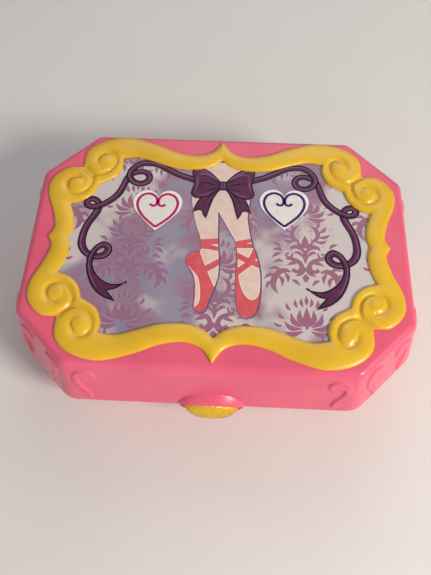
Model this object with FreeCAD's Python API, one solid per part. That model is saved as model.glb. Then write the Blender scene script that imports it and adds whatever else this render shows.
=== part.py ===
"""Wind-up music box: a pink clamshell jewellery case with a folding dancer and a comb movement.

Millimetres, +Z up, +X along the case, -Y towards the latch button. The origin is the middle of
the footprint on the surface that the case stands on. Every piece is drawn with the lid closed.
"""
import FreeCAD, Part
import math
import os

V = FreeCAD.Vector
X_AXIS, Y_AXIS, Z_AXIS = V(1, 0, 0), V(0, 1, 0), V(0, 0, 1)
GAP = 0.4                       # air between pieces that move past each other
RUNNING = 0.05                  # radial clearance of a shaft in its bearing

# Case outline: a long octagon with 45 degree corners, given at the top of the lid
TOP_X, TOP_Y = 95.9, 68.0       # half length and half depth
TOP_SUM = 137.2                 # |x| + |y| on the corner faces
WALL, FLOOR, ROOF = 2.2, 2.5, 2.5

# Levels, from the feet up
FOOT_H = 2.0
BASE_TOP = 27.6
PARTING = 28.0
LID_TOP = 62.6
CREST = 65.5
BASE_FLARE_LOW, BASE_FLARE_HIGH = -2.4, 5.0
LID_FLARE = 6.2
EDGE_ROUND, RIM_ROUND = 8.0, 3.5

# Hinge
HINGE_Y, HINGE_Z = 77.3, 28.0
KNUCKLE_R, HINGE_PIN_R = 3.5, 1.25
HINGE_X = 46.0

# Latch button and its oval collar
BUTTON_X, BUTTON_Z = 13.5, 8.3  # half sizes of the oval
BUTTON_FRONT = -80.8
BUTTON_LEVEL = 28.0
COLLAR_WALL = 2.6
LID_COLLAR_FRONT = -77.2
BASE_COLLAR_FRONT = -75.0
STEM_R, STEM_Z = 2.5, 22.5

# Spindle line, shared by the knob, barrel, turntable and dancer
SY = 4.0
PIVOT_Z = 46.0                  # the dancer's hinge pin
MIRROR_Z = 56.0

# Stage, raised over the movement
STAGE_X, STAGE_Y = 64.0, 28.0
STAGE_TOP = 34.8
DECK_LOW, DECK_TOP = 25.0, 27.0
TRAY_WALL = 1.6
TURNTABLE_R, TURNTABLE_LOW, TURNTABLE_TOP = 16.0, 35.6, 38.0

# Winding well and knob
WELL_R, WELL_ROOF = 20.0, 9.5
KNOB_R = 13.0
ARBOR_R = 3.0

# Movement
BED_LOW, BED_TOP = 12.5, 14.5
BARREL_R, BARREL_LOW, BARREL_TOP = 12.0, 16.4, 25.0
RIM_TEETH, CONTRATE_TEETH = 42, 14
RIM_PITCH_R = 13.3
RIM_Z = 18.6
DRUM_Z = 23.53                  # height of the cylinder's axis
DRUM_R, DRUM_X0, DRUM_X1 = 6.5, 18.0, 42.0
PIN_H = 0.7
CYLINDER_ARBOR_R, GOVERNOR_ARBOR_R, FAN_SHAFT_R = 1.2, 0.8, 0.6
DRIVE_TEETH, PINION_TEETH, DRIVE_MODULE = 36, 9, 0.4222
WHEEL_TEETH, WORM_STARTS, WORM_PITCH = 15, 3, 1.6
WORM_X, WORM_Y = 47.7, SY + 15.1
COMB_TEETH, COMB_STEP = 18, 1.3
COMB_TIP_Y = SY - DRUM_R - PIN_H - 0.3
COMB_BACK_Y = COMB_TIP_Y - 17.0
COMB_SCREW_X, COMB_SCREW_Y = (23.0, 37.0), COMB_TIP_Y - 14.0

# Stop rod
STOP_X, STOP_Y = 57.5, SY + 15.1


# ---------------------------------------------------------------- simple solids

def save(name, shape):
    """Writes one node, after checking that its solids are closed."""
    if not shape.isValid():
        print("not valid:", name)
    for solid in shape.Solids:
        if solid.Volume <= 0:
            raise ValueError(name)
    shape.exportStep("parts/" + name + ".step")


def box(x0, x1, y0, y1, z0, z1):
    return Part.makeBox(x1 - x0, y1 - y0, z1 - z0, V(x0, y0, z0))


def upright(r, x, y, z0, z1):
    return Part.makeCylinder(r, z1 - z0, V(x, y, z0), Z_AXIS)


def along_x(r, y, z, x0, x1):
    return Part.makeCylinder(r, x1 - x0, V(x0, y, z), X_AXIS)


def along_y(r, x, z, y0, y1):
    return Part.makeCylinder(r, y1 - y0, V(x, y0, z), Y_AXIS)


def rounded_box(x0, x1, y0, y1, z0, z1, r):
    """A box whose four upright edges are round."""
    solid = box(x0, x1, y0, y1, z0, z1)
    upright_edges = [e for e in solid.Edges if e.BoundBox.ZLength > (z1 - z0) / 2]
    return solid.makeFillet(r, upright_edges)


def ellipse_along_y(half_x, half_z, y0, y1):
    """An oval bar along Y, centred on the latch button."""
    centre = V(0, y0, BUTTON_LEVEL)
    ring = Part.Ellipse(centre + V(half_x, 0, 0), centre + V(0, 0, half_z), centre)
    face = Part.Face(Part.Wire(ring.toShape()))
    return face.extrude(V(0, y1 - y0, 0))


def octagon(flare, z):
    """The case outline at one level, moved outwards by flare."""
    x, y = TOP_X + flare, TOP_Y + flare
    total = TOP_SUM + flare * math.sqrt(2)
    quarter = [(total - y, y), (x, total - x)]
    ring = quarter + [(px, -py) for px, py in reversed(quarter)]
    ring += [(-px, py) for px, py in reversed(ring)]
    return [V(px, py, z) for px, py in ring]


def octagon_loft(flare0, z0, flare1, z1, round_r=0.0):
    """A tapered eight-sided block with round upright edges."""
    wires = [Part.makePolygon(p + [p[0]]) for p in (octagon(flare0, z0), octagon(flare1, z1))]
    block = Part.makeLoft(wires, True, True)
    if round_r:
        sloping = [e for e in block.Edges if e.BoundBox.ZLength > 0.9 * abs(z1 - z0)]
        block = block.makeFillet(round_r, sloping)
    return block


def round_level(solid, z, r):
    """Rounds the edges that lie in one level."""
    edges = [e for e in solid.Edges
             if abs(e.BoundBox.ZMin - z) < 0.01 and abs(e.BoundBox.ZMax - z) < 0.01]
    return solid.makeFillet(r, edges)


def fuse(first, *others):
    return first.multiFuse(list(others)).removeSplitter()


def group(solids):
    return Part.makeCompound(solids)


def turned(shape, degrees, centre, axis):
    copy = shape.copy()
    copy.rotate(centre, axis, degrees)
    return copy


def coil(radius, wire_r, pitch, height, place, axis):
    """A helical spring of twelve-sided wire standing at place along axis."""
    sides = 12
    corners = []
    for n in range(sides):
        a = 2 * math.pi * (n + 0.5) / sides
        corners.append(V(radius + wire_r * math.cos(a), 0, wire_r * math.sin(a)))
    section = Part.makePolygon(corners + [corners[0]])
    helix = Part.makeHelix(pitch, height, radius)
    spring = Part.Wire(helix).makePipeShell([section], True, True)
    spring.Placement = FreeCAD.Placement(place, FreeCAD.Rotation(Z_AXIS, axis))
    return spring


def screw(x, y, head_low, shank_r, head_r, head_h, length):
    """A pan-head screw pointing down, with a cross slot."""
    shank = upright(shank_r, x, y, head_low - length, head_low)
    head = upright(head_r, x, y, head_low, head_low + head_h)
    slot = 0.18 * head_r
    deep, reach = head_low + 0.5 * head_h, 0.7 * head_r
    cross = box(x - reach, x + reach, y - slot, y + slot, deep, head_low + head_h)
    other = box(x - slot, x + slot, y - reach, y + reach, deep, head_low + head_h)
    return fuse(shank, head).cut(cross).cut(other)


def gear_wire(teeth, root_r, tip_r, root_share, tip_share):
    """A star outline: each tooth narrows from root_share to tip_share of its pitch."""
    pitch = 2 * math.pi / teeth
    points = []
    for n in range(teeth):
        middle = n * pitch
        for r, side in ((root_r, -root_share), (tip_r, -tip_share),
                        (tip_r, tip_share), (root_r, root_share)):
            a = middle + side * pitch / 2
            points.append(V(r * math.cos(a), r * math.sin(a), 0))
    return Part.makePolygon(points + [points[0]])


def gear(teeth, root_r, tip_r, root_share, tip_share, thick):
    """A thin-toothed spur gear on the Z axis, with a tooth on +X."""
    return Part.Face(gear_wire(teeth, root_r, tip_r, root_share, tip_share)).extrude(V(0, 0, thick))


def gear_along_x(shape, x, y, z, turn):
    """Stands a gear drawn on Z along +X, first turned about its own axis."""
    copy = turned(shape, turn, V(0, 0, 0), Z_AXIS)
    copy.rotate(V(0, 0, 0), Y_AXIS, 90)
    copy.translate(V(x, y, z))
    return copy


# ---------------------------------------------------------------- case

def flare_of_base(z):
    share = (z - FOOT_H) / (BASE_TOP - FOOT_H)
    return BASE_FLARE_LOW + share * (BASE_FLARE_HIGH - BASE_FLARE_LOW)


def corner_places(x, y):
    return [(sx * x, sy * y) for sx in (-1, 1) for sy in (-1, 1)]


POSTS = corner_places(65.7, 46.0)
FEET = corner_places(70.0, 46.0)
BED_X0, BED_X1 = -20.0, 54.0
BED_Y0, BED_Y1 = SY - 28.0, SY + 20.0
BED_POSTS = [(BED_X0 + 3, BED_Y0 + 3), (BED_X0 + 3, BED_Y1 - 3),
             (BED_X1 - 3, BED_Y0 + 3), (BED_X1 - 17, BED_Y1 - 3)]


def hinge_parts(x, half_width, side):
    """One knuckle with its web: side -1 reaches down to the base, +1 up into the lid."""
    knuckle = along_x(KNUCKLE_R, HINGE_Y, HINGE_Z, x - half_width, x + half_width)
    near, wall_y = HINGE_Z + side * GAP, 71.0
    corners = [(wall_y, near), (wall_y, HINGE_Z + side * 7.0),
               (HINGE_Y, HINGE_Z + side * KNUCKLE_R), (HINGE_Y, near)]
    points = [V(x - half_width, y, z) for y, z in corners]
    web = Part.Face(Part.makePolygon(points + [points[0]])).extrude(V(2 * half_width, 0, 0))
    return fuse(knuckle, web)


KNUCKLE_HALF, KNUCKLE_STEP = 2.6, 6.0


def base_knuckle_places():
    return [side * HINGE_X + step for side in (-1, 1) for step in (-KNUCKLE_STEP, KNUCKLE_STEP)]


def lid_knuckle_places():
    return [-HINGE_X, HINGE_X]


def knuckle_room(places):
    """Room cut in a wall for the other half's knuckles."""
    half = KNUCKLE_HALF + GAP
    return [along_x(KNUCKLE_R + GAP, HINGE_Y, HINGE_Z, x - half, x + half) for x in places]


def pin_room(radius):
    return [along_x(radius, HINGE_Y, HINGE_Z, x - 10, x + 10) for x in (-HINGE_X, HINGE_X)]


def collar(front, z0, z1):
    """Half of the oval collar round the button, from its front to the wall, between two levels."""
    outer = ellipse_along_y(BUTTON_X + COLLAR_WALL, BUTTON_Z + 1.6, front, -66.0)
    outer = outer.makeFillet(1.2, [e for e in outer.Edges if abs(e.BoundBox.YMax - front) < 0.01])
    return outer.common(box(-30, 30, front - 1, -60, z0, z1))


def button_hole():
    return ellipse_along_y(BUTTON_X + 0.5, BUTTON_Z + 0.5, LID_COLLAR_FRONT - 1, -60.0)


def base_shell():
    outer = octagon_loft(BASE_FLARE_LOW, FOOT_H, BASE_FLARE_HIGH, BASE_TOP, EDGE_ROUND)
    outer = round_level(outer, FOOT_H, 2.5)
    outer = fuse(outer, collar(BASE_COLLAR_FRONT, BUTTON_LEVEL - 12, BASE_TOP))
    low = FOOT_H + FLOOR
    inner = octagon_loft(flare_of_base(low) - WALL, low,
                         flare_of_base(BASE_TOP) - WALL, BASE_TOP, EDGE_ROUND - WALL)
    shell = outer.cut(inner)
    additions = [upright(WELL_R + 2, 0, SY, FOOT_H, WELL_ROOF + 2)]
    additions += [upright(3.5, x, y, low - 0.5, DECK_LOW) for x, y in POSTS]
    additions += [upright(2.6, x, y, low - 0.5, BED_LOW) for x, y in BED_POSTS]
    additions += [box(-7, 7, -62, -60, low - 0.5, 26.5)]
    additions += [upright(2.6, STOP_X, STOP_Y, low - 0.5, 16.0)]
    additions += [hinge_parts(x, KNUCKLE_HALF, -1) for x in base_knuckle_places()]
    shell = fuse(shell, *additions)
    cuts = [button_hole(), upright(WELL_R, 0, SY, FOOT_H - 1, WELL_ROOF),
            upright(ARBOR_R + GAP, 0, SY, WELL_ROOF - 1, WELL_ROOF + 3),
            along_y(STEM_R + RUNNING, 0, STEM_Z, -63, -59),
            upright(1.06, STOP_X, STOP_Y, 9.0, 17.0)]
    cuts += [upright(1.3, x, y, 12.0, DECK_LOW + 1) for x, y in POSTS]
    cuts += [upright(1.2, x, y, 6.0, BED_LOW + 1) for x, y in BED_POSTS]
    cuts += [upright(1.5, x, y, FOOT_H - 1, FOOT_H + 1.8) for x, y in FEET]
    cuts += knuckle_room(lid_knuckle_places())
    cuts += pin_room(HINGE_PIN_R)
    return shell.cut(cuts)


def feet():
    pads = []
    for x, y in FEET:
        pad = upright(6.0, x, y, 0, FOOT_H)
        rim = [e for e in pad.Edges if e.BoundBox.ZMax < 0.01]
        pads.append(fuse(pad.makeFillet(0.6, rim), upright(1.5, x, y, FOOT_H - 0.5, FOOT_H + 1.8)))
    return group(pads)


def corner_pads():
    """Raised scroll grounds that wrap the eight upright edges of the lid."""
    skin = octagon_loft(LID_FLARE + 1.1, PARTING, 1.1, LID_TOP, EDGE_ROUND)
    pads = []
    for p in octagon(LID_FLARE / 2, 0):
        pads.append(upright(9.5, p.x, p.y, PARTING + 1.0, LID_TOP - 5.0))
    return skin.common(group(pads))


LID_BOSSES = corner_places(80.0, 38.0)
FRAME_PEGS = corner_places(63.3, 48.2) + corner_places(77.9, 31.5)
PANEL_X, PANEL_Y, PANEL_CORNER_X, PANEL_CORNER_Y = 81.5, 53.4, 57.5, 24.0
PANEL_H = 0.6


def panel_block(z0, z1, spare):
    quarter = [(PANEL_CORNER_X, PANEL_Y + spare), (PANEL_X + spare, PANEL_CORNER_Y)]
    ring = quarter + [(x, -y) for x, y in reversed(quarter)]
    ring += [(-x, y) for x, y in reversed(ring)]
    points = [V(x, y, z0) for x, y in ring]
    return Part.Face(Part.makePolygon(points + [points[0]])).extrude(V(0, 0, z1 - z0))


def lid_inner_flare(z):
    share = (z - PARTING) / (LID_TOP - PARTING)
    return LID_FLARE * (1 - share) - WALL


def lid_shell():
    outer = octagon_loft(LID_FLARE, PARTING, 0, LID_TOP, EDGE_ROUND)
    outer = round_level(outer, LID_TOP, RIM_ROUND)
    outer = fuse(outer, corner_pads(), collar(LID_COLLAR_FRONT, PARTING, BUTTON_LEVEL + 12))
    roof = LID_TOP - ROOF
    inner = octagon_loft(lid_inner_flare(PARTING), PARTING, lid_inner_flare(roof), roof, EDGE_ROUND - WALL)
    shell = outer.cut(inner)
    additions = [upright(3.2, x, y, MIRROR_Z + 2.8, roof + 0.5) for x, y in LID_BOSSES]
    additions += [box(-5, 5, -71.5, -67.5, PARTING + 1, PARTING + 4.5)]
    additions += [hinge_parts(x, KNUCKLE_HALF, 1) for x in lid_knuckle_places()]
    shell = fuse(shell, *additions)
    cuts = [button_hole(), panel_block(LID_TOP - PANEL_H, LID_TOP + 1, 0.2)]
    cuts += [upright(1.5, x, y, roof - 1, LID_TOP + 1) for x, y in FRAME_PEGS]
    cuts += [upright(1.1, x, y, MIRROR_Z + 2, roof + 0.6) for x, y in LID_BOSSES]
    cuts += knuckle_room(base_knuckle_places())
    cuts += pin_room(HINGE_PIN_R + RUNNING)
    cuts += [box(-8, 8, -66, -60, PARTING - 1, PARTING)]
    return shell.cut(cuts)


def hinge_pins():
    pins = []
    for side in (-1, 1):
        inner = side * HINGE_X - KNUCKLE_STEP - KNUCKLE_HALF
        outer = side * HINGE_X + KNUCKLE_STEP + KNUCKLE_HALF
        pin = along_x(HINGE_PIN_R, HINGE_Y, HINGE_Z, inner, outer)
        head = along_x(2.1, HINGE_Y, HINGE_Z, outer, outer + 1.0)
        pins.append(fuse(pin, head))
    return group(pins)


# ---------------------------------------------------------------- lid dressing

def spline(points):
    curve = Part.BSplineCurve()
    curve.interpolate([V(x, y, 0) for x, y in points])
    return curve.toShape()


# One quarter of the scrolled frame, from the middle of the long side to the middle of the end
FRAME_OUTER = [
    [(0, 64.8), (5.6, 57.6), (14.3, 54.9), (25, 56.8), (37, 61.8), (52, 65.7), (65.5, 63.0),
     (74, 55.5), (75.0, 44.4)],
    [(75.0, 44.4), (83.4, 43.6), (90.4, 36.3), (91, 26.8), (86.4, 14.5), (84.3, 5.5), (86.7, 0)],
]
FRAME_INNER = [
    [(0, 52.4), (5.5, 48.0), (14, 45.6), (26, 46.4), (38, 50.4), (46.5, 52.7), (54.3, 51.6)],
    [(54.3, 51.6), (53.8, 46.0), (57, 39.0), (64.8, 34.0)],
    [(64.8, 34.0), (67.2, 27.6), (72, 22.9), (78.4, 20.6)],
    [(78.4, 20.6), (75.6, 12.8), (74.9, 5.4), (76.4, 0)],
]


def frame_ring(quarter, z):
    """Mirrors a quarter outline into a closed wire."""
    edges = []
    for sx, sy in ((1, 1), (1, -1), (-1, -1), (-1, 1)):
        for run in quarter:
            edges.append(spline([(sx * x, sy * y) for x, y in run]))
    ring = Part.Wire(Part.__sortEdges__(edges))
    ring.translate(V(0, 0, z))
    return ring


def lid_frame():
    """The scrolled frame with a domed button in each of its eight scrolls."""
    window = Part.Face(frame_ring(FRAME_INNER, LID_TOP))
    face = Part.Face(frame_ring(FRAME_OUTER, LID_TOP)).cut(window)
    moulding = face.extrude(V(0, 0, CREST - LID_TOP - 0.9))
    additions = []
    for x, y in FRAME_PEGS:
        additions.append(upright(1.45, x, y, LID_TOP - ROOF - 0.6, LID_TOP + 0.5))
        dome = Part.makeSphere(6.0, V(x, y, CREST - 6.0))
        additions.append(dome.common(upright(4.2, x, y, LID_TOP + 1, CREST + 1)))
    return fuse(moulding, *additions)


def picture_panel():
    panel = panel_block(LID_TOP - PANEL_H, LID_TOP, 0)
    return panel.cut([upright(1.6, x, y, LID_TOP - 1, LID_TOP + 1) for x, y in FRAME_PEGS])


HEART_HALF = 12.9
HEART_PLACES = [(-32.7, 18.4), (33.6, 21.5)]


def heart_face(half_width, z):
    """An upright heart about the origin: each side is a lobe arc and a gently bowed edge."""
    w = half_width
    rise = 0.44 * w
    notch, tip = V(0, 0.2 * w + rise, z), V(0, -1.42 * w + rise, z)
    edges = []
    for side in (-1, 1):
        crown = V(side * 0.48 * w, 0.52 * w + rise, z)
        shoulder = V(side * 0.885 * w, -0.327 * w + rise, z)
        edge_middle = V(side * 0.47 * w, -0.9 * w + rise, z)
        edges.append(Part.Arc(notch, crown, shoulder).toShape())
        edges.append(Part.Arc(shoulder, edge_middle, tip).toShape())
    return Part.Face(Part.Wire(Part.__sortEdges__(edges)))


def heart_stickers():
    hearts = []
    for x, y in HEART_PLACES:
        heart = heart_face(HEART_HALF, LID_TOP).extrude(V(0, 0, 0.15))
        heart.translate(V(x, y, 0))
        hearts.append(heart)
    return group(hearts)


def flat_octagon(flare, z0, z1):
    points = octagon(flare, z0)
    return Part.Face(Part.makePolygon(points + [points[0]])).extrude(V(0, 0, z1 - z0))


def lid_liner():
    """The inner panel of the lid, with a raised border round the mirror and the stop's presser."""
    plate = flat_octagon(-2.4, MIRROR_Z + 1.2, MIRROR_Z + 2.8)
    border = flat_octagon(-17.0, MIRROR_Z - 0.2, MIRROR_Z + 1.2).cut(
        flat_octagon(-19.8, MIRROR_Z - 1, MIRROR_Z + 1.2))
    presser = upright(2.0, STOP_X, STOP_Y, 44.6, MIRROR_Z + 1.5)
    panel = fuse(plate, border, presser)
    return panel.cut([upright(1.3, x, y, MIRROR_Z, MIRROR_Z + 4) for x, y in LID_BOSSES]
                     + [upright(2.4, x, y, MIRROR_Z, MIRROR_Z + 1.9) for x, y in LID_BOSSES])


def mirror():
    glass = flat_octagon(-20.0, MIRROR_Z, MIRROR_Z + 1.2)
    return glass.cut(upright(2.3, STOP_X, STOP_Y, MIRROR_Z - 1, MIRROR_Z + 2))


def lid_screws():
    """Screws that hold the liner, pointing up."""
    screws = []
    for x, y in LID_BOSSES:
        one = screw(x, y, 0, 1.1, 2.2, 1.2, 2.6)
        one.rotate(V(x, y, 0), X_AXIS, 180)
        one.translate(V(0, 0, MIRROR_Z + 1.9))
        screws.append(one)
    return group(screws)


# ---------------------------------------------------------------- latch

def button_dome(front, half_x, half_z, root):
    """The oval dome of the button in front of a flat root plane."""
    unit = Part.makeSphere(1.0, V(0, 0, 0))
    stretch = FreeCAD.Matrix()
    stretch.scale(half_x, root - front, half_z)
    dome = unit.transformGeometry(stretch)
    dome.translate(V(0, root, BUTTON_LEVEL))
    return dome.common(box(-30, 30, front - 1, root, 0, 60))


EMBLEM_FRONT, EMBLEM_BACK = BUTTON_FRONT, -79.2
DOME_ROOT = -74.6


def emblem_block():
    heart = heart_face(4.6, 0).extrude(V(0, 0, EMBLEM_BACK - EMBLEM_FRONT))
    heart.rotate(V(0, 0, 0), X_AXIS, 90)
    heart.translate(V(0, EMBLEM_BACK, BUTTON_LEVEL - 0.4))
    return heart


def latch_button():
    """The oval push button: dome, sleeve, lower flange behind the wall, and stem."""
    dome = button_dome(BUTTON_FRONT + 0.4, BUTTON_X, BUTTON_Z, DOME_ROOT)
    sleeve = ellipse_along_y(BUTTON_X, BUTTON_Z, DOME_ROOT, -70.0)
    neck = box(-7.2, 7.2, -72, -67, 20.8, 26.4)
    flange = box(-16.5, 16.5, -68.0, -66.8, 20.8, 26.4)
    stem = along_y(STEM_R, 0, STEM_Z, -67.4, -56.0)
    return fuse(dome, sleeve, neck, flange, stem).cut(emblem_block())


def latch_hook():
    """The hook behind the button: a block on the stem, an arm, and a nose over the lid's catch."""
    block = box(-4.5, 4.5, -59.6, -56.0, 18.5, 27.0)
    arm = box(-3.5, 3.5, -59.6, -57.2, 26.0, 36.0)
    nose = box(-3.5, 3.5, -66.2, -57.2, 33.4, 36.0)
    ramp = Part.Face(Part.makePolygon([V(-3.5, -66.2, 36), V(-3.5, -63.2, 36), V(-3.5, -66.2, 34.6),
                                       V(-3.5, -66.2, 36)])).extrude(V(7, 0, 0))
    return fuse(block, arm, nose).cut([ramp, along_y(STEM_R, 0, STEM_Z, -60, -55)])


def latch_spring():
    return coil(3.3, 0.35, 1.25, 3.75, V(0, -62.5, STEM_Z), V(0, -1, 0))


# ---------------------------------------------------------------- stage

WELLS = [(-89.0, -68.0, -37.0, 37.0, 6.6), (68.0, 89.0, -37.0, 37.0, 6.6),
         (-60.0, -12.0, -60.0, -31.5, 6.6), (12.0, 60.0, -60.0, -31.5, 6.6),
         (-60.0, 60.0, 31.5, 59.0, 13.0)]


def stage_tray():
    """The lilac deck: five wells round a raised stage that covers the movement."""
    deck = flat_octagon(1.4, DECK_LOW, DECK_TOP)
    block = rounded_box(-STAGE_X, STAGE_X, -STAGE_Y, STAGE_Y, DECK_LOW, STAGE_TOP, 6.0)
    shells = [rounded_box(x0 - TRAY_WALL, x1 + TRAY_WALL, y0 - TRAY_WALL, y1 + TRAY_WALL,
                          floor - TRAY_WALL, DECK_TOP, 5.0) for x0, x1, y0, y1, floor in WELLS]
    tray = fuse(deck, block, *shells)
    cuts = [rounded_box(x0, x1, y0, y1, floor, DECK_TOP + 1, 3.6) for x0, x1, y0, y1, floor in WELLS]
    room_x, room_y = STAGE_X - 2, STAGE_Y - 2
    cuts += [rounded_box(-room_x, room_x, -room_y, room_y, DECK_LOW - 1, STAGE_TOP - 2, 4.5)]
    cuts += [upright(3.4, 0, SY, STAGE_TOP - 3, STAGE_TOP + 1)]
    cuts += [upright(1.06, STOP_X, STOP_Y, STAGE_TOP - 3, STAGE_TOP + 1)]
    cuts += [upright(1.5, x, y, DECK_LOW - 1, DECK_TOP + 1) for x, y in POSTS]
    cuts += [box(-9, 9, -72, -52, DECK_LOW - 1, DECK_TOP + 1),
             box(-18, 18, -72, -61.8, DECK_LOW - 1, DECK_TOP + 1)]
    return tray.cut(cuts)


def case_screws():
    return group([screw(x, y, DECK_TOP, 1.3, 2.6, 1.4, 12.0) for x, y in POSTS])


def turntable():
    """The disc that the dancer turns on, with the two ears of the dancer's hinge."""
    disc = upright(TURNTABLE_R, 0, SY, TURNTABLE_LOW, TURNTABLE_TOP)
    disc = disc.makeFillet(0.8, [e for e in disc.Edges if e.BoundBox.ZMin > TURNTABLE_TOP - 0.01])
    ears = []
    for side in (-1, 1):
        near, far = sorted((side * 3.4, side * 5.2))
        ears.append(box(near, far, SY - 2.8, SY + 2.8, TURNTABLE_TOP - 0.5, PIVOT_Z))
        ears.append(along_x(2.8, SY, PIVOT_Z, near, far))
    body = fuse(disc, *ears)
    return body.cut([along_x(1.0, SY, PIVOT_Z, -6, 6),
                     box(-1.5, 1.5, SY - 1.5, SY + 1.5, TURNTABLE_LOW - 1, TURNTABLE_TOP + 0.1)])


def spindle():
    """The shaft from the barrel cover to the turntable, square at its top."""
    body = upright(2.2, 0, SY, 29.6, TURNTABLE_LOW)
    return fuse(body, upright(1.2, 0, SY, 26.8, 29.8),
                box(-1.5, 1.5, SY - 1.5, SY + 1.5, TURNTABLE_LOW - 0.5, TURNTABLE_TOP))


def dancer_pin():
    return fuse(along_x(1.0, SY, PIVOT_Z, -6.0, 8.8), along_x(1.7, SY, PIVOT_Z, 8.0, 8.8))


def dancer_spring():
    return coil(1.55, 0.3, 0.75, 1.9, V(5.65, SY, PIVOT_Z), X_AXIS)


def laid_down(shape):
    """Moves a piece drawn upright on the dancer's pivot to its folded place."""
    copy = turned(shape, 90, V(0, 0, 0), X_AXIS)
    copy.translate(V(0, SY, PIVOT_Z))
    return copy


WAIST_R, WAIST_LOW, WAIST_TOP = 2.2, 23.6, 27.4


def dancer_figure():
    """The dancer on one pointed leg, arms raised in a ring over the head."""
    hub = Part.makeCylinder(2.6, 6.0, V(-3.0, 0, 0), X_AXIS)
    leg = Part.makeCone(1.3, 2.1, WAIST_LOW - 1.8, V(0, 0, 1.8), Z_AXIS)
    waist = Part.makeCylinder(WAIST_R, WAIST_TOP - WAIST_LOW, V(0, 0, WAIST_LOW), Z_AXIS)
    chest = Part.makeCone(WAIST_R, 3.0, 5.6, V(0, 0, WAIST_TOP), Z_AXIS)
    shoulders = Part.makeCone(3.0, 1.1, 2.2, V(0, 0, WAIST_TOP + 5.6), Z_AXIS)
    neck = Part.makeCylinder(1.0, 3.0, V(0, 0, 34.6), Z_AXIS)
    head = Part.makeSphere(2.6, V(0, 0, 39.0))
    bun = Part.makeSphere(1.4, V(0, 1.2, 41.6))
    arms = Part.makeTorus(6.6, 0.85, V(0, 0, 40.6), Y_AXIS)
    body = fuse(hub, leg, waist, chest, shoulders, neck, head, bun, arms)
    bore = Part.makeCylinder(1.0 + RUNNING, 8.0, V(-4.0, 0, 0), X_AXIS)
    return laid_down(body.cut(bore))


def dancer_tutu():
    rim, low, high = 9.5, WAIST_LOW + 0.6, WAIST_LOW + 3.0
    profile = [V(WAIST_R, 0, low), V(rim, 0, low + 0.9), V(rim, 0, low + 1.5), V(WAIST_R, 0, high)]
    skirt = Part.Face(Part.makePolygon(profile + [profile[0]])).revolve(V(0, 0, 0), Z_AXIS, 360)
    return laid_down(skirt)


# ---------------------------------------------------------------- winding

def winding_knob():
    """A finger key: a disc and a wing with round ends, sunk in the well."""
    disc = upright(KNOB_R, 0, SY, 7.0, 9.0)
    wing = rounded_box(-11.5, 11.5, SY - 2.4, SY + 2.4, 2.6, 7.5, 2.3)
    hub = upright(4.2, 0, SY, 2.8, 7.5)
    return fuse(disc, wing, hub).cut(upright(2.2, 0, SY, 5.0, 9.5))


def winding_arbor():
    """The shaft that the key turns, with the ratchet wheel and the seat of the mainspring."""
    ratchet_teeth = 12
    points = []
    for n in range(ratchet_teeth):
        a = 2 * math.pi * n / ratchet_teeth
        points.append(V(7.0 * math.cos(a), 7.0 * math.sin(a), 0))
        points.append(V(5.8 * math.cos(a), 5.8 * math.sin(a), 0))
    ratchet = Part.Face(Part.makePolygon(points + [points[0]])).extrude(V(0, 0, 1.2))
    ratchet.translate(V(0, SY, 14.9))
    return fuse(upright(2.2, 0, SY, 5.0, 9.4), upright(ARBOR_R, 0, SY, 9.2, 15.5), ratchet,
                upright(2.5, 0, SY, 15.5, 24.4))


def click_spring():
    """The leaf that stops the ratchet from turning back, with its screw."""
    leaf = box(-14.0, -6.6, SY - 12.0, SY - 10.8, 14.9, 16.0)
    tip = box(-7.6, -6.6, SY - 12.0, SY - 5.2, 14.9, 16.0)
    foot = upright(2.4, -14.0, SY - 11.4, BED_TOP, 16.0)
    head = upright(1.8, -14.0, SY - 11.4, 16.0, 17.0)
    return fuse(leaf, tip, foot, head)


# ---------------------------------------------------------------- movement

def bedplate():
    plate = rounded_box(BED_X0, BED_X1, BED_Y0, BED_Y1, BED_LOW, BED_TOP, 3.0)
    return plate.cut([upright(ARBOR_R + RUNNING, 0, SY, BED_LOW - 1, BED_TOP + 1)]
                     + [upright(1.4, x, y, BED_LOW - 1, BED_TOP + 1) for x, y in BED_POSTS])


BRIDGE_LEGS = [(0, SY - 17.2), (0, SY + 17.2)]
BRIDGE_LOW, BRIDGE_TOP = 27.2, 28.7


def movement_screws():
    screws = [screw(x, y, BED_TOP, 1.2, 2.2, 1.3, 6.0) for x, y in BED_POSTS]
    screws += [screw(x, y, BRIDGE_TOP, 1.2, 2.2, 1.3, 6.0) for x, y in BRIDGE_LEGS]
    return group(screws)


def barrel_bridge():
    """The strap over the barrel that carries the top of its stub."""
    strap = rounded_box(-4, 4, SY - 19.5, SY + 19.5, BRIDGE_LOW, BRIDGE_TOP, 3.0)
    legs = [upright(2.2, x, y, BED_TOP, BRIDGE_LOW + 0.5) for x, y in BRIDGE_LEGS]
    holes = [upright(1.2, x, y, BRIDGE_TOP - 6.0, BRIDGE_TOP + 1) for x, y in BRIDGE_LEGS]
    return fuse(strap, *legs).cut(holes + [upright(2.2 + RUNNING, 0, SY, 26, 30)])


def spring_barrel():
    """The spring's drum, with fine teeth round its lower rim."""
    half_pitch = 180.0 / RIM_TEETH
    rim = gear(RIM_TEETH, 12.4, 14.0, 0.42, 0.22, 1.0)
    rim.rotate(V(0, 0, 0), Z_AXIS, half_pitch)
    rim.translate(V(0, SY, RIM_Z))
    drum = fuse(upright(BARREL_R, 0, SY, BARREL_LOW, BARREL_TOP), rim)
    return drum.cut([upright(BARREL_R - 0.8, 0, SY, BARREL_LOW + 1, BARREL_TOP + 1),
                     upright(2.5 + RUNNING, 0, SY, BARREL_LOW - 1, BARREL_LOW + 2)])


def barrel_cover():
    lid = upright(BARREL_R, 0, SY, BARREL_TOP, BARREL_TOP + 0.9)
    stub = upright(2.2, 0, SY, BARREL_TOP + 0.4, 29.6)
    return fuse(lid, stub).cut(upright(1.2, 0, SY, 26.8, 30))


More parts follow.
